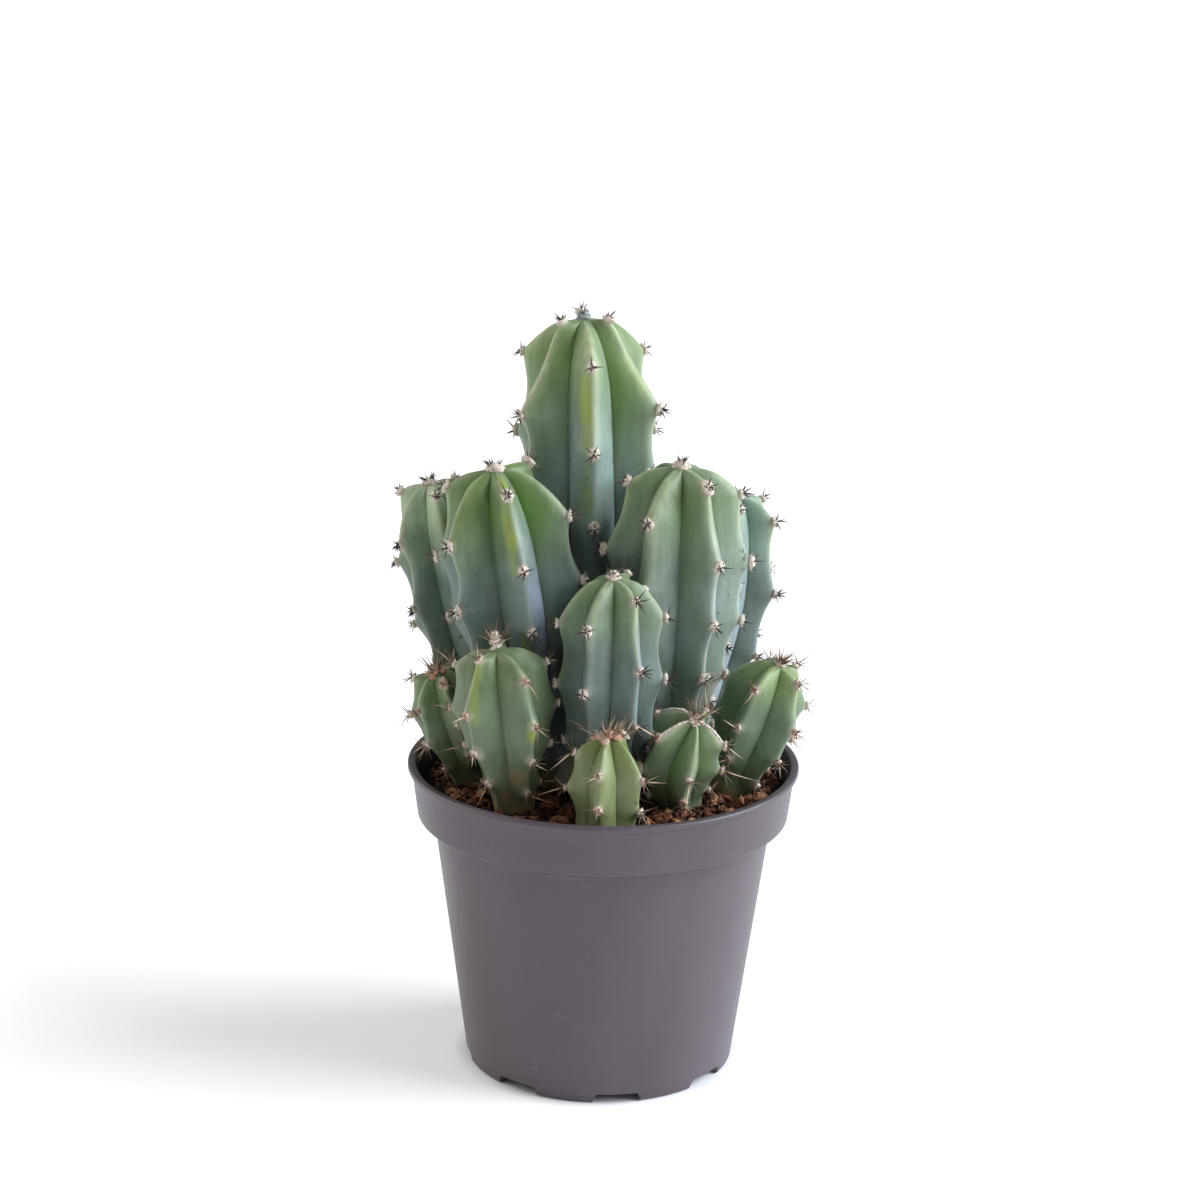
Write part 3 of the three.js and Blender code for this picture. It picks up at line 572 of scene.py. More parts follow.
def surface(stem, course, angle):
    """Points of a stem's skin. Its ribs wander a little, its flanks are faintly uneven, and a sharp
    crease runs along the bottom of each furrow."""
    share, radius = meridian(stem, course)
    point, along, side, back = centre_line(stem, share)
    phase = rib_phase(stem, angle)
    own = STEM_SHIFT * STEMS.index(stem)
    rib = np.floor((angle - stem.turn) * stem.ribs / 360 + 0.5) % stem.ribs
    rise = share * length_of(stem)
    relief = crest_relief(stem, course, angle)
    over = np.clip(course - 1, 0, 1) * np.pi / 2
    rounder = smooth((course - ROUNDER_AT[0]) / (ROUNDER_AT[1] - ROUNDER_AT[0]))
    rounding = CREST_ROUNDING + (CROWN_ROUNDING - CREST_ROUNDING) * rounder
    across = across_rib(stem, phase, rib_depth(stem, share), rounding)
    reach = (radius + relief * np.cos(over)) * across
    settled = smooth(share / SETTLED_SHARE) * np.clip(radius / SETTLED_RADIUS, 0, 1)
    uneven = (np.sin(rise / UNEVEN_LENGTHS[0] + own + UNEVEN_SHIFTS[0] * rib)
              * np.cos(rise / UNEVEN_LENGTHS[1] + UNEVEN_SHIFTS[1] * rib) * (1 - phase**2))
    crease = CREASE_DEPTH * np.exp(-(((1 - np.abs(phase)) / CREASE_WIDTH) ** 2))
    reach = reach + (UNEVEN_DEPTH * uneven - crease) * settled
    wander = np.radians(angle + WANDER * np.sin(rise / WANDER_LENGTH + own) * settled)
    outwards = np.sin(wander)[..., None] * side - np.cos(wander)[..., None] * back
    return point + reach[..., None] * outwards + (relief * np.sin(over))[..., None] * along


def outward(stem, course, angle):
    """Directions straight out of the skin, and up along it."""
    course = np.minimum(course, PROBE_TOP)
    up = surface(stem, course + PROBE_COURSE, angle) - surface(stem, course - PROBE_COURSE, angle)
    across = surface(stem, course, angle + PROBE_ANGLE) - surface(stem, course, angle - PROBE_ANGLE)
    return unit(np.cross(across, up)), unit(up)


# ---- The soil ----
# Moist peat, pressed into the pot and filled round the stems. It is one crumbly body, slumped a
# little along the wall, with a seat for each stem.

GAP = 0.3
SOIL_ROUGHNESS = 0.7
SOIL_SLUMP = 2.4
BEND_GAPS = (1, 0.3, 0.4)  # more room at the wall's foot, shoulder and collar, where it bends
SOIL_TOP_RADIUS = COLLAR_FOOT_RADIUS - WALL - GAP - BEND_GAPS[2]
SOIL_SLUMP_WIDTH = 4
SOIL_EDGE_RISE = 3.4  # how far the soil's edge lies above the collar's foot
SOIL_CRUMBS = ((0.5, 7), (0.35, 2.6))  # how high and how long its unevenness is
SEAT_GAP = 0.42
SEAT_BELOW, SEAT_ABOVE = 1.8, 6  # how far a seat's cutter runs past the buried end and the soil
SOIL_COLUMNS = 300
SOIL_RING_STEP = 1.0
PEAT_DARK = "#22140e"
PEAT_BROWN = "#7d4c35"
SOIL_SEED = 11


def soil_lump(x, y):
    """How far the surface swells up or down, in low waves 24 to 48 mm long."""
    swell = np.sin(0.15 * x + 1.2) * np.cos(0.13 * y) + 0.6 * np.sin(0.2 * x - 0.17 * y)
    return SOIL_ROUGHNESS * swell


def soil_height(x, y):
    """The height of the soil's surface, which slumps along the wall."""
    from_wall = SOIL_TOP_RADIUS - np.hypot(x, y)
    slump = SOIL_SLUMP * smooth(1 - from_wall / SOIL_SLUMP_WIDTH)
    return SOIL_LEVEL + soil_lump(x, y) - slump


def crumbly(x, y, rng, size, waves=14):
    """An uneven surface between about -1 and 1, of waves about as long as size."""
    total = np.zeros_like(x)
    for _ in range(waves):
        heading, shift = rng.uniform(0, 2 * np.pi, 2)
        pitch = 2 * np.pi / (size * rng.uniform(0.6, 1.6))
        total += np.sin(pitch * (x * np.cos(heading) + y * np.sin(heading)) + shift)
    return total / np.sqrt(2 * waves)


def moist_peat():
    """Moist peat: near black in the hollows, dull brown on the crumbs, with no gloss to speak of.
    Its grain is drawn from 1.6 mm down, over drier patches 7 mm wide."""
    material, tree, place = new_material("moist_peat")
    grain = add_node(tree, "TexNoise",
                     {"Vector": place, "Scale": 1 / (1.6 * MM), "Detail": 8, "Roughness": 0.7})
    patches = add_node(tree, "TexNoise", {"Vector": place, "Scale": 1 / (7 * MM), "Detail": 3})
    tone = add_node(tree, "Attribute", attribute_name="tone").outputs["Fac"]
    raised = add_node(tree, "Math", {0: grain, 1: patches, 2: tone}, operation="MULTIPLY_ADD")
    colour = cover(tree, PEAT_DARK, PEAT_BROWN, raised, 0.22, 1.3)
    relief = add_node(tree, "Bump", {"Height": grain, "Strength": 0.9, "Distance": 0.5 * MM})
    finish_material(tree, {"Base Color": colour, "Roughness": 0.85, "Normal": relief,
                           "Specular IOR Level": 0.3})
    return material


def soil_body():
    """The rings of the soil from its bottom up and in over its surface, as points and faces."""
    wall_taper = (SHOULDER_RADIUS - BASE_RADIUS) / (SHOULDER_HEIGHT - FLOOR_UNDERSIDE)
    bottom = FLOOR_UNDERSIDE + WALL + GAP
    bottom_radius = BASE_RADIUS - WALL - GAP - BEND_GAPS[0] + wall_taper * (bottom - FLOOR_UNDERSIDE)
    shoulder_radius = SHOULDER_RADIUS - WALL - GAP - BEND_GAPS[1]
    inner = np.arange(SOIL_TOP_RADIUS, SOIL_RING_STEP, -SOIL_RING_STEP)
    radii = np.concatenate([[bottom_radius, shoulder_radius, SOIL_TOP_RADIUS], inner])
    turns = np.linspace(0, 2 * np.pi, SOIL_COLUMNS, endpoint=False)
    x, y = radii[:, None] * np.cos(turns), radii[:, None] * np.sin(turns)
    rng = np.random.default_rng(SOIL_SEED)
    crumbs = sum(height * crumbly(x, y, rng, size) for height, size in SOIL_CRUMBS)
    heights = soil_height(x, y) + crumbs
    heights[:3] = np.array([bottom, SHOULDER_HEIGHT, COLLAR_FOOT_HEIGHT + SOIL_EDGE_RISE])[:, None]
    top = SOIL_LEVEL + soil_lump(0, 0)
    return closed_tube(np.stack([x, y, heights], axis=-1), (0, 0, bottom), (0, 0, top))


peat = moist_peat()
points, faces = soil_body()
soil = new_piece("peat_soil", points, faces, peat, tone=np.zeros(len(points)))
seats = []
for stem in STEMS:
    foot, along, _, _ = centre_line(stem, 0)
    seats.append(cylinder(foot - along * (STEM_DEPTH + SEAT_BELOW), foot + along * SEAT_ABOVE,
                          stem.foot_radius + SEAT_GAP))
cut_away(soil, seats)
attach(soil, "root")
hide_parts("soil")

# ---- Peat crumbs, bark chips and fibres on the soil ----
# Loose crumbs of peat lie all over the soil, with chips of composted bark and coconut husk, from
# 3 to 8 mm, and short coconut fibres. Nothing holds them; they lie where they fell.

CRUMB_COUNT = 2600
CRUMB_SIZES, CRUMB_FINENESS = (0.5, 1.5), 1.4  # and the power that makes more of them small
CRUMB_SHAPES = (0.6, 1)
CRUMB_TONE, CRUMB_DARKNESS = 1.15, 2.4  # the palest tone, and the power that darkens most of them
CHIP_COUNT = 120
CHIP_SIZES = (1.3, 3.1)
CHIP_WIDTHS = (0.4, 0.8)  # as shares of the length
CHIP_THICKNESSES = (0.35, 0.65)
CHIP_DARKNESS = 2
CRUMB_RISE, CHIP_RISE = 0.35, 0.6  # of the middle above the soil, as shares of half the thickness
FIBRE_COUNT = 150
FIBRE_LENGTHS = (3, 9)
FIBRE_WIDTH = 0.28
FIBRE_LIFT = 0.8  # of its root above the soil
FIBRE_CLIMB = (-0.05, 0.5)
FIBRE_BEND, FIBRE_DROOP = 0.35, 0.4
FIBRE_TONES = (0.3, 1)
CRUMB_ROOM, CHIP_ROOM, FIBRE_ROOM = 0.9, CHIP_SIZES[1] + 0.3, 1.5  # to the stems' feet
CRUMB_REACH, CHIP_REACH, FIBRE_REACH = 53.6, 51, 50  # from the middle of the pot
LITTER_SEED = 23
BARK_DARK = "#2e160e"
BARK_RED = "#96553a"
BARK_TAN = "#bd8a62"
FACETS = 12
FACET_DEPTHS = (0.35, 0.9)  # how far from a lump's middle its flat faces are broken
LUMP_TILT = 0.35
GRAIN_RIDGES = 10
TAPER = 1.6  # of strands: 1 for a cone, more for one that stays thick for longer
UPRIGHT = 0.9  # rise of a direction that counts as upright
LARGE_TONES = (0.6, 1.1)
# Chips that show well at the front and sides of the clump: place, and half the length.
LARGE_CHIPS = [(-45, -17, 4.2), (-38, -20, 3.4), (-44, -23, 2.8), (41, -24, 4), (36, -29, 3.4),
               (47, -20, 3.6), (22, -42, 2.6), (27, -38, 2.4), (-12, -40, 3), (-3, -32, 2.6),
               (12, -50, 2.4), (34, -38, 2.8), (-22, -44, 2.4), (44, 12, 3.4), (-10, 15, 3.2),
               (0, 53, 3.4), (-24, 45, 3), (16, 50, 3), (-49, 14, 3), (49, 2, 2.6),
               (34, -19, 3.4), (45, -17.5, 2.8), (19, -33, 2.4), (-33, -12, 2.8)]


def ball(detail):
    """Points and triangles of a round ball of radius 1."""
    mesh = bmesh.new()
    bmesh.ops.create_icosphere(mesh, subdivisions=detail, radius=1)
    points = np.array([v.co[:] for v in mesh.verts])
    faces = [[v.index for v in f.verts] for f in mesh.faces]
    mesh.free()
    return points, faces


def lumps(rng, places, sizes, detail, uneven, grain):
    """Broken lumps at places, with sizes their half lengths, widths and heights, and a grain that
    runs along them. Gives the points, the faces, and which lump each point is on."""
    round_points, round_faces = ball(detail)
    solids = []
    for place, size in zip(places, sizes):
        facets = unit(rng.normal(size=(FACETS, 3)))
        over = np.maximum(round_points @ facets.T - rng.uniform(*FACET_DEPTHS, FACETS), 0)
        body = round_points - over.max(axis=1)[:, None] * facets[over.argmax(axis=1)]
        shift = rng.uniform(0, 2 * np.pi, 2)
        ridges = np.prod(np.sin(GRAIN_RIDGES * body[:, 1:] + shift), axis=1)
        bumps = grain * ridges + uneven * rng.normal(size=len(body))
        body = body * (1 + bumps[:, None]) * size
        spin, tilt = rng.uniform(0, 2 * np.pi), rng.normal(0, LUMP_TILT)
        ahead = body[:, 0] * np.cos(tilt) - body[:, 2] * np.sin(tilt)
        up = body[:, 0] * np.sin(tilt) + body[:, 2] * np.cos(tilt)
        x = ahead * np.cos(spin) - body[:, 1] * np.sin(spin)
        y = ahead * np.sin(spin) + body[:, 1] * np.cos(spin)
        solids.append((place + np.stack([x, y, up], axis=1), round_faces))
    points, faces = join(solids)
    return points, faces, np.repeat(np.arange(len(solids)), len(round_points))


def strands(roots, directions, bends, lengths, widths, sides, stations):
    """Tapering curved strands, with a ring of points at each of stations, which are shares of the
    length. Gives the points, the faces, and each point's share of the length and strand."""
    roots, directions, bends = map(np.asarray, (roots, directions, bends))
    stations = np.array(stations)
    helper = np.where(np.abs(directions[:, 2:]) < UPRIGHT, [[0, 0, 1.0]], [[1.0, 0, 0]])
    across = unit(np.cross(directions, helper))
    other = np.cross(directions, across)
    turns = np.linspace(0, 2 * np.pi, sides, endpoint=False)
    run = stations[None, :, None] * lengths[:, None, None]
    spread = (1 - stations**TAPER)[None, :, None] * widths[:, None, None] / 2
    centres = roots[:, None] + directions[:, None] * run
    centres = centres + bends[:, None] * (stations**2)[None, :, None] * lengths[:, None, None]
    ring = np.cos(turns)[:, None] * across[:, None] + np.sin(turns)[:, None] * other[:, None]
    rings = centres[:, :, None] + spread[..., None] * ring[:, None]
    tips = roots + directions * lengths[:, None] + bends * lengths[:, None]
    count, rows = len(roots), len(stations)
    points = np.concatenate([rings.reshape(count, -1, 3), tips[:, None]], axis=1)
    own_faces = grid_faces(rows, sides)
    last = rows * sides
    own_faces += [(last - sides + i, last - sides + (i + 1) % sides, last) for i in range(sides)]
    own_faces += [tuple(range(sides))[::-1]]
    per_strand = last + 1
    faces = [[n * per_strand + corner for corner in face] for n in range(count) for face in own_faces]
    share = np.tile(np.append(np.repeat(stations, sides), 1), count)
    return points.reshape(-1, 3), faces, share, np.repeat(np.arange(count), per_strand)


def open_places(rng, count, room, reach):
    """Places on the soil that are at least room away from every stem's foot."""
    found = []
    while len(found) < count:
        radius, turn = reach * np.sqrt(rng.uniform()), rng.uniform(0, 2 * np.pi)
        x, y = radius * np.cos(turn), radius * np.sin(turn)
        if all(np.hypot(x - s.foot[0], y - s.foot[1]) > s.foot_radius + room for s in STEMS):
            found.append((x, y))
    return np.array(found)


def husk_and_bark():
    """Composted pine bark and coconut husk: flaky, dull, from near black through red brown to tan,
    with a fibrous grain about 0.4 mm wide, drawn at 0.7 mm."""
    material, tree, place = new_material("husk_and_bark")
    tone = add_node(tree, "Attribute", attribute_name="tone").outputs["Fac"]
    grain_place = add_node(tree, "Mapping", {"Vector": place, "Scale": (1, 3, 2)})
    grain = add_node(tree, "TexNoise", {"Vector": grain_place, "Scale": 1 / (2 * MM), "Detail": 7})
    pale = add_node(tree, "Math", {0: tone, 1: grain}, operation="MULTIPLY")
    colour = cover(tree, BARK_DARK, BARK_RED, grain, 0.38, 0.62)
    colour = cover(tree, colour, BARK_TAN, pale, 0.15, 0.6)
    relief = add_node(tree, "Bump", {"Height": grain, "Strength": 0.9, "Distance": 0.4 * MM})
    finish_material(tree, {"Base Color": colour, "Roughness": 0.8, "Normal": relief})
    return material


def lay_on_soil(piece):
    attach(piece, "root")
    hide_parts("soil")


rng = np.random.default_rng(LITTER_SEED)
spots = open_places(rng, CRUMB_COUNT, CRUMB_ROOM, CRUMB_REACH)
lengths = rng.uniform(*CRUMB_SIZES, (CRUMB_COUNT, 1)) ** CRUMB_FINENESS
sizes = lengths * rng.uniform(*CRUMB_SHAPES, (CRUMB_COUNT, 3))
heights = soil_height(spots[:, 0], spots[:, 1]) + CRUMB_RISE * sizes[:, 2]
points, faces, owner = lumps(
    rng, np.column_stack([spots, heights]), sizes, detail=2, uneven=0.1, grain=0)
tones = rng.uniform(0, CRUMB_TONE, CRUMB_COUNT) ** CRUMB_DARKNESS
lay_on_soil(new_piece("peat_crumbs", points, faces, peat, smooth=False, tone=tones[owner]))

bark = husk_and_bark()
large = np.array(LARGE_CHIPS)
spots = np.concatenate([large[:, :2], open_places(rng, CHIP_COUNT, CHIP_ROOM, CHIP_REACH)])
half = np.concatenate([large[:, 2], rng.uniform(*CHIP_SIZES, CHIP_COUNT)])
widths, thicknesses = rng.uniform(*CHIP_WIDTHS, len(half)), rng.uniform(*CHIP_THICKNESSES, len(half))
sizes = half[:, None] * np.column_stack([np.ones(len(half)), widths, thicknesses])
heights = soil_height(spots[:, 0], spots[:, 1]) + CHIP_RISE * sizes[:, 2]
points, faces, owner = lumps(
    rng, np.column_stack([spots, heights]), sizes, detail=3, uneven=0.05, grain=0.2)
tones = rng.uniform(0, 1, len(half)) ** CHIP_DARKNESS
tones[: len(large)] = rng.uniform(*LARGE_TONES, len(large))
lay_on_soil(new_piece("bark_chips", points, faces, bark, smooth=False, tone=tones[owner]))

spots = open_places(rng, FIBRE_COUNT, FIBRE_ROOM, FIBRE_REACH)
roots = np.column_stack([spots, soil_height(spots[:, 0], spots[:, 1]) + FIBRE_LIFT])
turns = rng.uniform(0, 2 * np.pi, FIBRE_COUNT)
climbs = rng.uniform(*FIBRE_CLIMB, FIBRE_COUNT)
directions = unit(np.column_stack([np.cos(turns), np.sin(turns), climbs]))
bends = np.column_stack([rng.normal(0, FIBRE_BEND, (FIBRE_COUNT, 2)),
                         rng.uniform(-FIBRE_DROOP, 0, FIBRE_COUNT)])
lengths = rng.uniform(*FIBRE_LENGTHS, FIBRE_COUNT)
points, faces, _, owner = strands(
    roots, directions, bends, lengths, np.full(FIBRE_COUNT, FIBRE_WIDTH),
    sides=4, stations=(0, 0.25, 0.5, 0.75))
tones = rng.uniform(*FIBRE_TONES, FIBRE_COUNT)
lay_on_soil(new_piece("husk_fibres", points, faces, bark, tone=tones[owner]))

# ---- The stems' skin ----
# Green flesh under a waxy blue-grey bloom. New growth at the tip is fresh green with no bloom yet,
# the bloom is rubbed off in yellow-green patches along some crests, and the feet turn corky.
# Painted light and shade lie on the skin too: painted shade down the furrows, a painted highlight along
# the crests, and painted light as more pale bloom on flanks facing the right-hand lamp and over shaded
# parts.

# Skin, bloom and new growth of each stem, how much bloom it has, how many of its crests are rubbed,
# and how strong the line along its crests is, partly pale bloom and partly a painted highlight.
SKINS = {
    "stem_tall_back": ("#6b7f5f", "#8da1a0", "#6a8144", 0.45, 0.1, 0.9),
    "stem_tall_left": ("#506448", "#a0acc2", "#5c7536", 0.28, 0.05, 0.6),
    "stem_tall_right": ("#687d5f", "#a3adb6", "#6a7f50", 0.55, 0.1, 0.75),
    "stem_far_left": ("#4f624d", "#82918a", "#a0b28e", 0.32, 0, 0.9),
    "stem_far_right": ("#637465", "#8f9fa7", "#7d9682", 0.55, 0.1, 0.7),
    "stem_middle": ("#566750", "#7b8b92", "#6b8055", 0.5, 0.1, 0.75),
    "stem_low_left": ("#5a6b4a", "#7d8576", "#66784e", 0.3, 0.1, 0.45),
    "stem_low_far_left": ("#5a6c48", "#7e8a77", "#6a8150", 0.28, 0.1, 0.5),
    "stem_low_right": ("#5c7254", "#778874", "#788e5a", 0.4, 0, 0.6),
    "stem_young_front": ("#727e50", "#88956f", "#75844c", 0.3, 0, 0),
    "stem_young_right": ("#67785a", "#8a9a7c", "#72895a", 0.25, 0, 0.4),
}
# Each stem's patches that show well: rib, place across it and half the width as shares of the way to
# the furrow, place below the tip and half the length in millimetres, strength, and which of the
# skin's values they raise.
PATCHES = {
    "stem_tall_back": [
        (0, -0.22, 0.22, 21.5, 8, 1, "rubbed"), (0, -0.16, 0.18, 33, 4.5, 0.6, "rubbed"),
        (5, 0.2, 0.2, 20, 9, 0.25, "rubbed"), (1, -0.15, 0.2, 13, 10, 0.5, "rubbed"),
        (0, -0.16, 0.16, 52, 6, 0.5, "rubbed"), (1, -0.9, 0.5, 23, 14, 0.85, "lush"),
        # partly painted light: pale bloom laid over the lower ribs, where the other stems shade them
        (0, -0.75, 0.5, 46, 24, 0.9, "bloom"), (0, 0, 0.9, 68, 20, 0.8, "bloom"),
        (5, 0.6, 0.45, 56, 26, 0.7, "bloom"), (1, -0.7, 0.4, 56, 22, 0.6, "bloom"),
    ],
    "stem_tall_left": [
        (0, -0.16, 0.2, 15, 7, 0.9, "rubbed"), (0, -0.2, 0.16, 24, 5, 0.5, "rubbed"),
        (0, -0.18, 0.16, 53, 7, 0.6, "rubbed"), (5, 0.1, 0.2, 14, 6, 0.3, "rubbed"),
        (1, -0.9, 0.5, 13, 12, 1, "lush"), (0, -0.8, 0.4, 12, 10, 0.5, "lush"),
        # partly painted light: pale bloom on the flank that faces the right-hand lamp
        (0, 0.65, 0.55, 50, 24, 1, "bloom"),
    ],
    "stem_tall_right": [
        (0, -0.7, 0.4, 14, 12, 0.45, "lush"),
    ],
    "stem_far_left": [
        (5, 0.1, 0.2, 20, 6, 0.15, "rubbed"),
    ],
    "stem_low_left": [
        (4, 0.12, 0.2, 13, 6, 0.6, "rubbed"),
    ],
    "stem_young_right": [
        (0, -0.7, 0.35, 16, 10, 0.7, "lush"), (1, -0.7, 0.35, 14, 8, 0.6, "lush"),
    ],
}
PATCH_SHARPNESS = {"rubbed": 4, "lush": 2, "bloom": 2}
# The ribs whose right-hand flank, facing the right-hand lamp, has more pale bloom and whose left-hand
# flank has less, as painted light and shade, and how much less bloom the others have.
RIBS_LIT_FROM_RIGHT = {
    "stem_tall_back": (0,), "stem_tall_left": (0,), "stem_tall_right": (0, 1),
    "stem_middle": (0, 1), "stem_far_right": (0, 1), "stem_low_right": (0,),
}
PLAIN_FLANK = 0.55
# Marks of age: share of the stem's length, angle, radius, and which of the skin's values they raise.
MARKS = {
    "stem_low_left": [
        (0.24, 29, 6, "cork"), (0.12, -20, 3, "cork"), (0.44, -36, 2.6, "halo"),
    ],
    "stem_tall_right": [
        (0.27, 42, 5, "halo"), (0.36, 44, 4.5, "halo"), (0.3, 88, 4, "halo"), (0.2, 42, 5, "halo"),
        (0.44, 41, 3.5, "halo"), (0.745, 89, 1.6, "scar"), (0.715, 88, 1.9, "scar"),
        (0.685, 89, 1.5, "scar"),
    ],
    "stem_far_left": [
        (0.5, -60, 3, "scar"),
    ],
}
RUBBED_COLOUR = "#8b9d3f"
LUSH_COLOUR = "#527b22"
# painted shade: dark green laid down the bottom of each furrow
FURROW_SHADE_COLOUR = "#36452b"
# the crest line: partly pale bloom and partly a painted highlight, yellower on new growth
CREST_HIGHLIGHT_COLOUR = "#b3bdaa"
CROWN_HIGHLIGHT_COLOUR = "#bcc78a"
# half the width of the crest line, partly a painted highlight, as a share of the way to the furrow
HIGHLIGHT_WIDTH = 0.24
CORK_COLOUR = "#a07a48"
HALO_COLOUR = "#bbb4a2"
SCAR_COLOUR = "#45463f"
WAX_SHEEN = "#dfe8ee"
# Where the columns of points lie between a crest and a furrow, closer where the skin turns most.
PHASES = (0, 0.05, 0.11, 0.19, 0.3, 0.43, 0.57, 0.71, 0.83, 0.91, 0.965)
RING_STEP = 1.2
DOME_RINGS = 22
SLIMMEST = 0.8  # radius of the buried end, as a share of the foot
RUBBED_WIDTH = 0.24  # half the width of a rubbed patch, as a share of the way to the furrow
RUBBED_LENGTHS = (3.5, 8)
RUBBED_PLACES = (0.5, 0.95, 0.09)  # from where to where up a crest they lie, and how far apart
RUBBED_SCATTER = 3
RUBBED_ASIDE = (-0.06, 0.08)  # the usual place across the rib, and how much it varies
RUBBED_CHANCE = 0.6
HALO_RADIUS = 2.6
RIB_TONES = (0.7, 1.25)  # how much bloom a rib has against the others
# how much more pale bloom the lit flank has and the shaded one less: painted light and shade
LIT_FLANK_TONE = 0.5
FLANK_BLEND = 0.2  # how far from the crest a flank has its own bloom in full
# Where on a stem the bloom ends, new growth starts, and the crest line, partly a painted highlight,
# comes in: from what share of the length, over what share. Then how much bloom is left at the top,
# and how strong the crest line is below.
BLOOM_TOP, BLOOM_FADE = 0.97, 0.4
GROWTH_FOOT, GROWTH_FADE = 0.62, 0.36
HIGHLIGHT_FOOT, HIGHLIGHT_FADE = 0.6, 0.25
TOP_BLOOM, FOOT_HIGHLIGHT = 0.25, 0.35
GROWTH_TONES = (0.75, 0.5)  # how fresh every rib is, and how much more a rib may be
CREST_GROWTH, FLANK_GROWTH = 0.7, 0.6
CORK_TOP = 0.2
ARM_WIDTH = 0.3
ARM_FOOT, ARM_FADE = 1.1, 0.3  # courses
SKIN_SEED = 5


def waxy_skin(name, skin, bloom, growth):
    """Living cactus skin: a firm wax cuticle with a soft gloss, duller where bloom lies on it. Its
    pebbling, about 0.4 mm, is drawn at 0.9 mm."""
    material, tree, place = new_material(name)
    crest, edge, fresh, bloomy, rubbed, cork, halo, scar, lush = (
        add_node(tree, "Attribute", attribute_name=key).outputs["Fac"]
        for key in ("crest", "edge", "fresh", "bloom", "rubbed", "cork", "halo", "scar", "lush")
    )
    long_place = add_node(tree, "Mapping", {"Vector": place, "Scale": (1, 1, 0.2)})
    clouds = add_node(tree, "TexNoise",
                      {"Vector": place, "Scale": 1 / (9 * MM), "Detail": 6, "Roughness": 0.6})
    streaks = add_node(tree, "TexNoise", {"Vector": long_place, "Scale": 1 / (3 * MM), "Detail": 6})
    pebbles = add_node(tree, "TexNoise",
                       {"Vector": place, "Scale": 1 / (0.9 * MM), "Detail": 4, "Roughness": 0.6})
    pores, marks, nicks = (
        add_node(tree, "TexVoronoi", {"Vector": place, "Scale": 1 / (size * MM)})
        for size in (1.1, 9, 2.2)
    )
    # The noise breaks the edges of what the values of the points would draw smoothly.
    fresh_share, highlight_share, rubbed_share, cork_share = (
        add_node(tree, "Math", {0: noise, 1: value}, operation="MULTIPLY")
        for noise, value in ((clouds, fresh), (streaks, edge), (streaks, rubbed), (clouds, cork))
    )
    thickness = add_node(tree, "MapRange", {"Value": clouds, "From Min": 0.25, "From Max": 0.75,
                                            "To Min": 0.35, "To Max": 1.65})
    bloom_share = add_node(tree, "Math", {0: thickness, 1: bloomy},
                           operation="MULTIPLY", use_clamp=True)
    colour = cover(tree, skin, growth, fresh_share, 0.05, 0.5)
    colour = cover(tree, colour, bloom, bloom_share)
    for pattern, low, high, darkest, lightest in (
        (streaks, 0.25, 0.75, 0.82, 1.18),
        (pores, 0.1, 0.35, 0.9, 1.02),
    ):
        tone = add_node(tree, "MapRange", {"Value": pattern, "From Min": low, "From Max": high,
                                           "To Min": darkest, "To Max": lightest})
        colour = add_node(tree, "Mix", {SHARE: 1.0, UNDER: colour, OVER: tone},
                          data_type="RGBA", blend_type="MULTIPLY")
    # The crest line, partly pale bloom and partly a painted highlight, yellower on new growth.
    highlight_colour = cover(tree, CREST_HIGHLIGHT_COLOUR, CROWN_HIGHLIGHT_COLOUR, fresh)
    nick_edge = add_node(tree, "MapRange", {"Value": nicks, "From Min": 0.42, "From Max": 0.3})
    nick_share = add_node(tree, "Math", {0: nick_edge, 1: scar}, operation="MULTIPLY")
    for over, value, low, high, most in (
        # the crest line, partly a painted highlight
        (highlight_colour, highlight_share, 0.05, 0.6, 0.7),
        (RUBBED_COLOUR, rubbed_share, 0.08, 0.48, 0.85),
        # painted shade, darkest down the bottom of each furrow
        (FURROW_SHADE_COLOUR, crest, 0.06, 0, 0.5),
        (LUSH_COLOUR, lush, 0, 1, 0.75),
        (HALO_COLOUR, halo, 0.3, 0.95, 0.65),
        (CORK_COLOUR, cork_share, 0.24, 0.62, 0.85),
        (SCAR_COLOUR, marks, 0.075, 0.035, 0.6),
        (SCAR_COLOUR, nick_share, 0, 1, 1),
    ):
        colour = cover(tree, colour, over, value, low, high, most)
    gloss = add_node(tree, "MapRange", {"Value": bloom_share, "To Min": 0.42, "To Max": 0.62})
    relief = add_node(tree, "Bump", {"Height": pebbles, "Strength": 0.3, "Distance": 0.15 * MM})
    waves = add_node(tree, "Bump",
                     {"Height": streaks, "Strength": 0.3, "Distance": 0.5 * MM, "Normal": relief})
    finish_material(tree, {"Base Color": colour, "Roughness": gloss, "Normal": waves, "IOR": 1.45,
                           "Sheen Weight": 0.1, "Sheen Roughness": 0.45, "Sheen Tint": WAX_SHEEN})
    return material


def rubbed_crests(stem, rng, walk, phase, rib, amount):
    """Where the bloom is rubbed off, as soft patches along the crests between areoles."""
    total = np.zeros_like(walk)
    end = walk_along(stem, 2)
    for number in range(stem.ribs):
        for centre in np.arange(*RUBBED_PLACES) * end:
            middle = centre + rng.normal(0, RUBBED_SCATTER)
            half = rng.uniform(*RUBBED_LENGTHS)
            aside, strength = rng.normal(*RUBBED_ASIDE), rng.uniform(0, 1)
            patch = np.exp(-(((walk - middle) / half) ** 4) - (((phase - aside) / RUBBED_WIDTH) ** 2))
            worn = strength > 1 - RUBBED_CHANCE * amount
            total = np.maximum(total, np.where(rib == number, patch * worn * strength, 0))
    return total


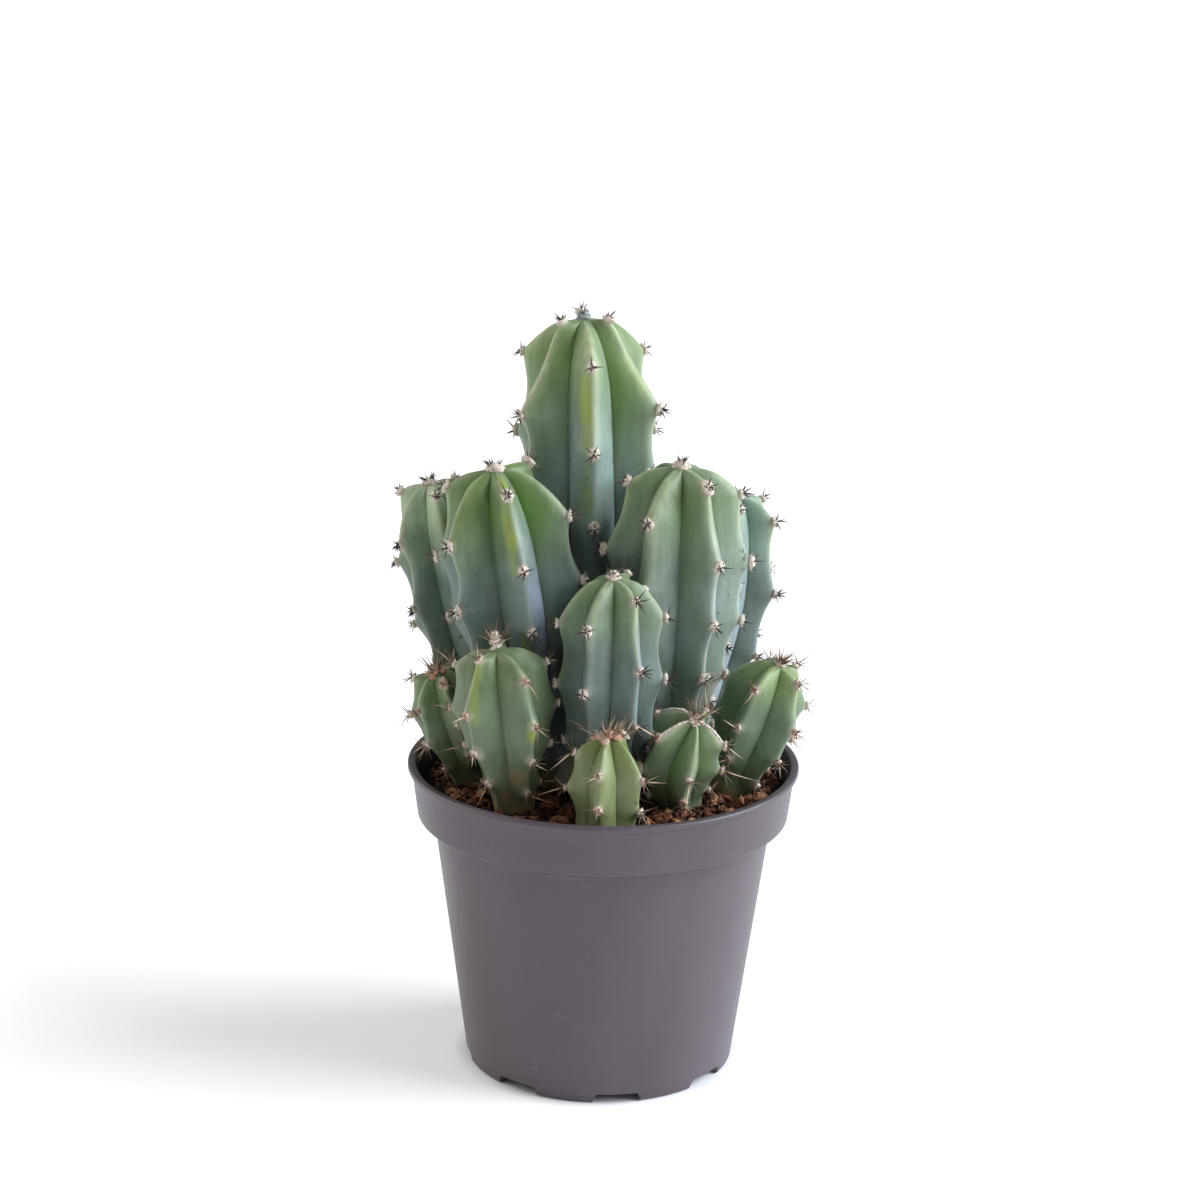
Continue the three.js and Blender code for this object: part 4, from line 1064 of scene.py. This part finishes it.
def skin_values(stem, rng, rings, course, angle):
    """What the skin's material reads at each point: 0 to 1 from furrow to crest, which lays the painted
    shade in the furrows, the crest line, partly pale bloom and partly a painted highlight, new growth,
    bloom, with painted light on lit flanks and shaded parts, rubbed patches, cork, the pale ring round
    an areole, scars, and lush green furrows."""
    _, _, _, bloom_amount, rubbed_amount, highlight_amount = SKINS[stem.name]
    share, _ = meridian(stem, course)
    walk = walk_along(stem, course)
    phase = rib_phase(stem, angle)
    rib = np.round((angle - stem.turn) * stem.ribs / 360) % stem.ribs
    rib_tone = rng.uniform(*RIB_TONES, stem.ribs)[rib.astype(int)]
    # Painted light and shade: ribs lit from the right get more pale bloom on their right-hand flank and
    # less on their left-hand one.
    lit_from_right = np.isin(rib, RIBS_LIT_FROM_RIGHT.get(stem.name, ()))
    lit_flank_tone = 1 + LIT_FLANK_TONE * np.sign(phase) * smooth(np.abs(phase) / FLANK_BLEND)
    lit_flank_tone = np.where(lit_from_right, lit_flank_tone, PLAIN_FLANK)
    lower = smooth((BLOOM_TOP - share) / BLOOM_FADE)
    on_crest = np.exp(-((phase / HIGHLIGHT_WIDTH) ** 2))
    rib_growth = GROWTH_TONES[0] + GROWTH_TONES[1] * rng.uniform(0, 1, stem.ribs)[rib.astype(int)]
    fresh = smooth((share - GROWTH_FOOT) / GROWTH_FADE) * rib_growth
    fresh = fresh * (CREST_GROWTH + FLANK_GROWTH * np.abs(phase))
    pale = FOOT_HIGHLIGHT + (1 - FOOT_HIGHLIGHT) * smooth((share - HIGHLIGHT_FOOT) / HIGHLIGHT_FADE)
    near = np.zeros_like(share)
    for areole_course, areole_angle in areoles_of(stem):
        away = np.linalg.norm(rings - surface(stem, areole_course, areole_angle), axis=-1)
        near = np.maximum(near, np.exp(-((away / HALO_RADIUS) ** 2)))
    if stem.name == ARM_STEM:
        arms = np.exp(-((phase / ARM_WIDTH) ** 2)) * smooth((course - ARM_FOOT) / ARM_FADE)
        near = np.maximum(near, arms * np.isin(rib, ARM_RIBS))
    values = {
        "crest": 1 - np.abs(phase),
        # the crest line, partly a painted highlight
        "edge": highlight_amount * pale * on_crest,
        "fresh": fresh,
        # bloom, with painted light and shade on the flanks of ribs lit from the right
        "bloom": bloom_amount * rib_tone * lit_flank_tone * (TOP_BLOOM + (1 - TOP_BLOOM) * lower),
        "rubbed": rubbed_crests(stem, rng, walk, phase, rib, rubbed_amount),
        "cork": smooth((CORK_TOP - share) / CORK_TOP),
        "halo": near,
        "scar": np.zeros_like(share),
        "lush": np.zeros_like(share),
    }
    for number, aside, width, below, half, strength, key in PATCHES.get(stem.name, ()):
        middle = walk_along(stem, course_at(stem, 1 - below / length_of(stem)))
        sharpness = PATCH_SHARPNESS[key]
        patch = np.exp(-(np.abs((walk - middle) / half) ** sharpness)
                       - np.abs((phase - aside) / width) ** sharpness)
        values[key] = np.maximum(values[key], np.where(rib == number, patch * strength, 0))
    for mark_share, mark_angle, radius, key in MARKS.get(stem.name, ()):
        away = np.linalg.norm(rings - surface(stem, course_at(stem, mark_share), mark_angle), axis=-1)
        values[key] = np.maximum(values[key], np.exp(-((away / radius) ** 2)))
    return values


def skin_mesh(stem, rng):
    """Points and faces of a stem from its buried end to its tip, and what its material reads."""
    half_rib = 180 / stem.ribs
    around = np.array([*[-p for p in PHASES[:0:-1]], *PHASES, 1])
    angles = np.concatenate([stem.turn + half_rib * (2 * rib + around) for rib in range(stem.ribs)])
    body_rings = round((length_of(stem) - stem.dome) / RING_STEP)
    courses = np.concatenate([np.linspace(0, 1, body_rings), 1 + np.arange(1, DOME_RINGS) / DOME_RINGS])
    course, angle = np.meshgrid(courses, angles, indexing="ij")
    rings = surface(stem, course, angle)
    middle, along, _, _ = centre_line(stem, 0)
    buried = rings[0] * SLIMMEST + middle * (1 - SLIMMEST) - along * STEM_DEPTH
    tube = np.concatenate([[buried], rings])
    points, faces = closed_tube(tube, middle - along * STEM_DEPTH, stem.tip)
    values = skin_values(stem, rng, rings, course, angle)
    ends = {key: [grid[0].mean(), grid[-1].mean()] for key, grid in values.items()}
    return points, faces, {
        key: np.concatenate([grid[0], grid.ravel(), ends[key]]) for key, grid in values.items()
    }


for stem in STEMS:
    rng = np.random.default_rng([SKIN_SEED, STEMS.index(stem)])
    points, faces, values = skin_mesh(stem, rng)
    title = stem.name.removeprefix("stem_")
    material = waxy_skin(f"waxy_skin_{title}", *SKINS[stem.name][:3])
    skin = new_piece(f"skin_{title}", points, faces, material, **values)
    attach(skin, "root")
    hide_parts(stem.name)

# ---- The areoles' wool ----
# Each areole is a small cushion of short felt-like wool, white to cream, that grows on the crest of
# a rib, and a thicker tuft of it crowns each tip. On new growth it is longer and partly rust brown.

WOOL_SIZE = (1.75, 2, 1)  # half its width, its height along the rib, and how far it stands out
WOOL_CREAM = "#e9dfcf"
WOOL_RUST = "#b9805a"
WOOL_GREY = "#8d7563"
WOOL_BLUISH = "#95a3a6"
WOOL_SPREAD = (0.85, 1.15)  # how much the cushions' sizes vary
WOOL_LIFT = 0.1
THIN_WOOL = 0.8  # how large the cushions of the thinnest stems are
YOUNG_WOOL = 0.8  # and how much smaller those of low and young stems are
OLD_RUST, YOUNG_RUST = 0.12, 0.7  # how rusty the wool gets
HAIRS = 56  # on a cushion
HAIR_LENGTHS = (0.5, 1.3)
HAIR_WIDTH = 0.12
HAIR_SCATTER, HAIR_RISE = (1, 1, 0.5), (0, 0, 0.6)
HAIR_ROOT = 0.85  # how far out in its cushion a hair starts
HAIR_BEND = 0.35
HAIR_ROOM = 1.6  # hair lengths that have to fit in the box
WOOL_LUMPS = 0.15
TUFT_CUSHIONS = 9
TUFT_TURN = 2.4  # radians from one of its cushions to the next
TUFT_DROOP, TUFT_LEAN = 0.25, 0.5
# How high each stem's tuft stands, how far from the tip its cushions lie, and how large they are.
TUFTS = {
    "stem_tall_back": (1.2, 0.9, 0.8), "stem_low_left": (4.8, 0.9, 0.95), "stem_middle": (1, 1.3, 0.95),
    "stem_low_far_left": (1.2, 3, 0.95), "stem_low_right": (0.4, 1.2, 0.85),
    "stem_young_front": (1, 4, 1.15), "stem_young_right": (0.9, 1.8, 0.9),
}
PLAIN_TUFT = (0.5, 1.5, 1)
GREY_TUFT, GREY_TONE = "stem_tall_back", -0.85
WHITE_TUFT, WHITE_TONE = "stem_low_left", 0.25
RUSTIEST_TUFTS = ("stem_young_front", "stem_low_far_left")
RUSTIEST = (0.5, 1)
# How large the cushions on the crown are.
PLAIN_CROWN_WOOL = 1.1
CROWN_WOOL = {"stem_low_left": 1.15, "stem_low_right": 0.95, "stem_young_front": 1.3}
LOWEST_WOOL = 0.6  # and how large those by the soil
SMALLER_BELOW = 0.35  # course
CROWN_LENGTH = 1.5  # how much longer they are there along the ribs of low and young stems
ARM_CUSHIONS = 9
ARM_COURSES = (1.3, 1.92)
ARM_WOOL = (0.34, 1)  # their width and length against a full cushion's
CROWN_FROM = 1.5  # course
BOX_MARGIN = 0.02
WOOL_SEED = 31
RUSTY = ("stem_low", "stem_young")


def felted_wool():
    """Plant wool: matt, soft and finely tangled, with a fuzzy edge from its loose hairs. The tangle
    of hairs a tenth of a millimetre thick is drawn at 0.9 mm. A tone of 0 is cream, 1 rust brown, and
    below 0 it gets bluish."""
    material, tree, place = new_material("felted_plant_wool")
    tone = add_node(tree, "Attribute", attribute_name="tone").outputs["Fac"]
    tangle = add_node(tree, "TexNoise",
                      {"Vector": place, "Scale": 1 / (0.9 * MM), "Detail": 6, "Roughness": 0.7})
    colour = cover(tree, WOOL_CREAM, WOOL_RUST, tone)
    colour = cover(tree, colour, WOOL_GREY, tangle, 0.46, 0.66, 0.75)
    colour = cover(tree, colour, WOOL_BLUISH, tone, 0, -1)
    relief = add_node(tree, "Bump", {"Height": tangle, "Strength": 0.8, "Distance": 0.3 * MM})
    finish_material(tree, {"Base Color": colour, "Roughness": 0.95, "Normal": relief,
                           "Specular IOR Level": 0.2, "Sheen Weight": 0.3, "Sheen Roughness": 0.6})
    return material


def areole_frames(stem):
    """Places, courses and outward, upward and sideways directions of a stem's areoles."""
    course, angle = areoles_of(stem).T
    place = surface(stem, course, angle)
    out, up = outward(stem, course, angle)
    return place, course, out, up, np.cross(up, out)


def arm_frames(stem):
    """The same for the cushions along the woolly crests, if the stem has them."""
    ribs = ARM_RIBS if stem.name == ARM_STEM else ()
    course = np.tile(np.linspace(*ARM_COURSES, ARM_CUSHIONS), len(ribs))
    angle = np.repeat(stem.turn + 360 / stem.ribs * np.array(ribs), ARM_CUSHIONS)
    out, up = outward(stem, course, angle)
    return surface(stem, course, angle), out, up, np.cross(up, out)


def tuft_frames(stem, rng):
    """The same directions for the cushions of the tuft on a stem's tip, and their places."""
    _, along, side, back = centre_line(stem, 1)
    turn = rng.uniform(0, 2 * np.pi) + np.arange(TUFT_CUSHIONS) * TUFT_TURN
    tall, spread, _ = TUFTS.get(stem.name, PLAIN_TUFT)
    away = spread * np.sqrt(np.arange(TUFT_CUSHIONS) / TUFT_CUSHIONS)
    radial = np.cos(turn)[:, None] * side + np.sin(turn)[:, None] * back
    height = (1 - np.arange(TUFT_CUSHIONS) / TUFT_CUSHIONS) * tall
    place = np.array(stem.tip) + away[:, None] * radial + (height - TUFT_DROOP * away)[:, None] * along
    out = unit(along + TUFT_LEAN * radial * (away / spread)[:, None])
    up = unit(np.cross(out, np.cross(radial, out)))
    return place, out, up, np.cross(up, out)


def inside_box(points):
    """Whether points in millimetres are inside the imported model's box."""
    lowest, highest = np.array(cad_box) / MM
    return np.all((points > lowest + BOX_MARGIN) & (points < highest - BOX_MARGIN), axis=-1)


def wool_mesh(stem, rng):
    """Points, faces and tones of a stem's wool: round cushions squashed on their areoles, and the
    loose hairs that stand out of them."""
    place, course, *facing = areole_frames(stem)
    tuft, arms = tuft_frames(stem, rng), arm_frames(stem)
    place, out, up, side = (np.concatenate(parts) for parts in zip([place, *facing], tuft, arms))
    count, arm_count = len(place), len(arms[0])
    grown = np.clip(stem.radius / GROWN_RADIUS, THIN_WOOL, 1)
    crown = CROWN_WOOL.get(stem.name, PLAIN_CROWN_WOOL)
    young = stem.name.startswith(RUSTY)
    low = LOWEST_WOOL + (1 - LOWEST_WOOL) * smooth(course / SMALLER_BELOW)
    larger = np.concatenate([np.where(course > CROWN_FROM, crown, low),
                             np.full(TUFT_CUSHIONS, TUFTS.get(stem.name, PLAIN_TUFT)[2]),
                             np.full(arm_count, ARM_WOOL[0])])
    longer = np.concatenate([np.where((course > CROWN_FROM) & young, CROWN_LENGTH, 1),
                             np.ones(TUFT_CUSHIONS), np.full(arm_count, ARM_WOOL[1] / ARM_WOOL[0])])
    scale = grown * rng.uniform(*WOOL_SPREAD, count) * larger * (YOUNG_WOOL if young else 1)

    round_points, round_faces = ball(detail=2)
    solids = []
    for n in range(count):
        uneven = round_points * (1 + WOOL_LUMPS * rng.normal(size=(len(round_points), 1))) * WOOL_SIZE
        uneven = uneven * (1, longer[n], 1)
        middle = place[n] + WOOL_LIFT * out[n]
        solids.append((middle + scale[n] * uneven @ np.stack([side[n], up[n], out[n]]), round_faces))
    kept = [inside_box(solid[0]).all() for solid in solids]
    points, faces = join([solid for solid, keep in zip(solids, kept) if keep])
    rusty = rng.uniform(0, YOUNG_RUST if young else OLD_RUST, count)
    tuft_at = slice(count - arm_count - TUFT_CUSHIONS, count - arm_count)
    if stem.name == GREY_TUFT:
        rusty[tuft_at] = GREY_TONE
    elif stem.name in RUSTIEST_TUFTS:
        rusty[tuft_at] = rng.uniform(*RUSTIEST, TUFT_CUSHIONS)
    elif stem.name == WHITE_TUFT:
        rusty[tuft_at] *= WHITE_TONE
    rusty[count - arm_count :] = 0
    tones = np.repeat(rusty[kept], len(round_points))

    owner = np.repeat(np.arange(count), HAIRS)
    spread = unit(rng.normal(size=(len(owner), 3)) * HAIR_SCATTER + HAIR_RISE)
    spread[:, 2] = np.abs(spread[:, 2])
    frames = np.stack([side, up, out], axis=1)[owner]
    hair_directions = np.einsum("ni,nij->nj", spread, frames)
    on_cushion = np.einsum("ni,nij->nj", spread * WOOL_SIZE * HAIR_ROOT, frames)
    hair_roots = place[owner] + on_cushion * scale[owner, None]
    hair_lengths = rng.uniform(*HAIR_LENGTHS, len(owner)) * scale[owner]
    hair_bends = rng.normal(0, HAIR_BEND, (len(owner), 3))
    hair_ends = hair_roots + hair_directions * hair_lengths[:, None] * HAIR_ROOM
    inside = inside_box(hair_roots) & inside_box(hair_ends)
    hair_points, hair_faces, _, strand = strands(
        hair_roots[inside], hair_directions[inside], hair_bends[inside], hair_lengths[inside],
        np.full(inside.sum(), HAIR_WIDTH), sides=3, stations=(0, 0.5))
    points, faces = join([(points, faces), (hair_points, hair_faces)])
    return points, faces, np.concatenate([tones, rusty[owner[inside]][strand]])


wool = felted_wool()
for stem in STEMS:
    rng = np.random.default_rng([WOOL_SEED, STEMS.index(stem)])
    points, faces, tones = wool_mesh(stem, rng)
    cushions = new_piece(f"wool_{stem.name.removeprefix('stem_')}", points, faces, wool, tone=tones)
    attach(cushions, "root")
    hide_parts(stem.name)

# ---- The spines ----
# Four to seven stiff needles spread round the edge of each areole, one or two stand out of its
# middle, and a bunch of young ones on the tip. They are hard and woody: short and grey brown on old
# growth, longer, thinner and straw coloured from a red-brown base on the young stems.

OLD_WIDTH = 0.68
YOUNG_WIDTH = 0.38
FINE_SPINE = 0.8  # width of the spines at the edge and on the tip, as a share of the middle ones'
WIDTH_SPREAD = (0.85, 1.1)
SPINE_STATIONS = (0, 0.2, 0.45, 0.7, 0.88)
SPINE_SEED = 47
# Colours of a spine's root, of the body of short and of long ones, and of the point.
SPINE_OLD = ("#4e3a33", "#2b2220", "#40332f", "#1f1917")
SPINE_YOUNG = ("#6a3c2b", "#47312a", "#cdb595", "#8f7152")
# Shortest and longest spines round an areole's edge and in its middle, as shares of the full length.
OLD_LENGTHS = ((0.6, 1.05), (0.75, 1.2))
YOUNG_LENGTHS = ((0.4, 0.9), (0.9, 1.7))
# How many there are on an areole: fewest, and one more than most.
OLD_RADIALS, YOUNG_RADIALS, OLD_MIDDLES = (4, 7), (5, 8), (1, 3)
YOUNG_MIDDLES = 1  # on every areole
SPREAD = (45, 75)  # degrees between a spine of the edge and the way its areole faces
CROWN_RISE = 12  # and how many fewer they are on the crown
CROWN_RISE_COURSES = (1.2, 0.6)  # from where, and over how many
SPOKE_SCATTER = 12
MIDDLE_LEANS = (0.3, 0.55)  # of the middle spines of old and of young stems
MIDDLE_DROOP = 0.2
# How far the tones of the spines go towards that of long ones: at the edge, in the middle, on the tip.
EDGE_TONE, MIDDLE_TONES, TIP_TONE, BRISTLE_TONE = 0.4, (0.6, 1), 0.3, 0.7
SPINE_BEND, SPINE_SAG = 0.06, 0.02
TRIED_LENGTHS = (1, 0.75, 0.55, 0.4)  # shares of its length, until a spine touches nothing
FELT_AT = (0.4, 0.75, 1.02)  # where along a spine that is looked at
SPINE_CLEARANCE = 0.5
SPINE_OVER_SOIL = 1.6
SPINE_TO_RIM = 0.8
ROOT_RISE, ROOT_ASIDE = 0.6, 0.4  # how far out and aside in its cushion of wool a spine starts
TIP_SPINES = 9
TIP_SPINE_LENGTHS = (2, 3.4)
BRISTLES = 32  # on the tips of low and young stems
BRISTLE_LENGTHS = (3.5, 8)
BRISTLE_WIDTH = 0.3
TIP_LEAN, TIP_FAN = 0.5, 1.3
TUFT_DEPTH = 0.6  # share of a tuft's height in which the tip's spines start


def woody_needle(name, root, short_body, long_body, tip):
    """Spine tissue: hard dead wood cells, smooth with a dull shine, darkening to the point. The
    fine lengthwise fibres are drawn as faint cloudiness along it."""
    material, tree, place = new_material(name)
    along = add_node(tree, "Attribute", attribute_name="along").outputs["Fac"]
    tone = add_node(tree, "Attribute", attribute_name="tone").outputs["Fac"]
    cloud = add_node(tree, "TexNoise", {"Vector": place, "Scale": 1 / (2 * MM), "Detail": 3})
    body = cover(tree, short_body, long_body, tone)
    colour = cover(tree, root, body, along, 0.05, 0.3)
    colour = cover(tree, colour, tip, along, 0.5, 0.95)
    shade = add_node(tree, "Math", {0: tone, 1: cloud}, operation="ADD")
    light = add_node(tree, "MapRange", {"Value": shade, "From Min": 0.3, "From Max": 1.5,
                                        "To Min": 0.6, "To Max": 1.5})
    varied = add_node(tree, "Mix", {SHARE: 1.0, UNDER: colour, OVER: light},
                      data_type="RGBA", blend_type="MULTIPLY")
    finish_material(tree, {"Base Color": varied, "Roughness": 0.45, "IOR": 1.5})
    return material


def distance_from(stem, points):
    """How far points are outside a stem's ribs, or above its tip."""
    share = (points[..., 2] - SOIL_LEVEL) / (stem.tip[2] - SOIL_LEVEL)
    centre, along, _, _ = centre_line(stem, np.clip(share, 0, 1))
    away = points - centre
    across = away - along * (away * along).sum(axis=-1, keepdims=True)
    _, radius = meridian(stem, course_at(stem, np.clip(share, 0, 1)))
    beside = np.linalg.norm(across, axis=-1) - radius
    over = np.linalg.norm(points - np.array(stem.tip), axis=-1)
    return np.where(share > 1, over, beside)


def is_clear(stem, points):
    """Whether points keep clear of the other stems, the soil, the pot's rim and the box."""
    radius = np.hypot(points[..., 0], points[..., 1])
    height = points[..., 2]
    rim_inside = RIM_RADIUS - LIP_OVERHANG - WALL - SPINE_TO_RIM
    clear = (height > SOIL_LEVEL + SPINE_OVER_SOIL) & inside_box(points)
    clear &= ~((height < POT_HEIGHT + SPINE_TO_RIM) & (radius > rim_inside))
    for other in STEMS:
        if other is not stem:
            clear &= distance_from(other, points) > SPINE_CLEARANCE
    return clear


def spines_of(stem, rng):
    """Roots, directions, bends, lengths, widths and tones of a stem's spines."""
    place, course, out, up, side = areole_frames(stem)
    young = stem.name.startswith(RUSTY)
    width = YOUNG_WIDTH if young else OLD_WIDTH
    edge_lengths, middle_lengths = YOUNG_LENGTHS if young else OLD_LENGTHS
    rows = []
    for n in range(len(place)):
        on_crown = float(smooth((course[n] - CROWN_RISE_COURSES[0]) / CROWN_RISE_COURSES[1]))
        radials = rng.integers(*(YOUNG_RADIALS if young else OLD_RADIALS))
        first = rng.uniform(0, 360)
        for spoke in range(radials):
            turn = np.radians(first + 360 / radials * spoke + rng.normal(0, SPOKE_SCATTER))
            tilt = np.radians(rng.uniform(*SPREAD) - CROWN_RISE * on_crown)
            flat = np.cos(turn) * up[n] + np.sin(turn) * side[n]
            direction = np.cos(tilt) * out[n] + np.sin(tilt) * flat
            length = stem.spine * rng.uniform(*edge_lengths)
            root = place[n] + ROOT_ASIDE * flat + ROOT_RISE * out[n]
            rows.append((root, direction, length, FINE_SPINE * width, rng.uniform(0, EDGE_TONE)))
        for _ in range(YOUNG_MIDDLES if young else rng.integers(*OLD_MIDDLES)):
            lean = rng.normal(0, MIDDLE_LEANS[young], 2) - (MIDDLE_DROOP, 0)
            direction = unit(out[n] + lean[0] * up[n] + lean[1] * side[n])
            length = stem.spine * rng.uniform(*middle_lengths)
            root = place[n] + ROOT_RISE * out[n]
            rows.append((root, direction, length, width, rng.uniform(*MIDDLE_TONES)))
    _, along, across, back = centre_line(stem, 1)
    tall, spread, _ = TUFTS.get(stem.name, PLAIN_TUFT)
    tips = [(TIP_SPINES, TIP_SPINE_LENGTHS, FINE_SPINE * width, TIP_TONE)]
    if young:
        tips.append((BRISTLES, BRISTLE_LENGTHS, BRISTLE_WIDTH, BRISTLE_TONE))
    for number, own_lengths, own_width, palest in tips:
        for _ in range(number):
            lean = rng.normal(0, TIP_LEAN, 2)
            flat = lean[0] * across + lean[1] * back
            rise = ROOT_RISE + TUFT_DEPTH * tall * rng.uniform()
            root = np.array(stem.tip) + spread * flat + rise * along
            length = rng.uniform(*own_lengths)
            rows.append((root, unit(along + TIP_FAN * flat), length, own_width, rng.uniform(0, palest)))
    roots = np.array([row[0] for row in rows])
    directions = unit(np.array([row[1] for row in rows]))
    lengths = np.array([row[2] for row in rows])
    widths = np.array([row[3] for row in rows]) * rng.uniform(*WIDTH_SPREAD, len(rows))
    bends = rng.normal(0, SPINE_BEND, (len(rows), 3)) - (0, 0, SPINE_SAG)
    kept = np.zeros(len(rows), dtype=bool)
    for shorten in TRIED_LENGTHS:
        trial = lengths * np.where(kept, 1, shorten)
        steps = (trial[:, None] * FELT_AT)[..., None]
        felt = roots[:, None] + (directions + bends)[:, None] * steps
        fits = is_clear(stem, felt).all(axis=1) & ~kept
        lengths = np.where(fits, trial, lengths)
        kept |= fits
    tones = np.array([row[4] for row in rows])
    return [part[kept] for part in (roots, directions, bends, lengths, widths, tones)]


old_needles = woody_needle("old_woody_needles", *SPINE_OLD)
young_needles = woody_needle("young_woody_needles", *SPINE_YOUNG)
for stem in STEMS:
    rng = np.random.default_rng([SPINE_SEED, STEMS.index(stem)])
    roots, directions, bends, lengths, widths, tones = spines_of(stem, rng)
    points, faces, share, owner = strands(
        roots, directions, bends, lengths, widths, sides=6, stations=SPINE_STATIONS)
    needles = young_needles if stem.name.startswith(RUSTY) else old_needles
    spines = new_piece(f"spines_{stem.name.removeprefix('stem_')}", points, faces, needles,
                       along=share, tone=tones[owner])
    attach(spines, "root")
    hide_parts(stem.name)
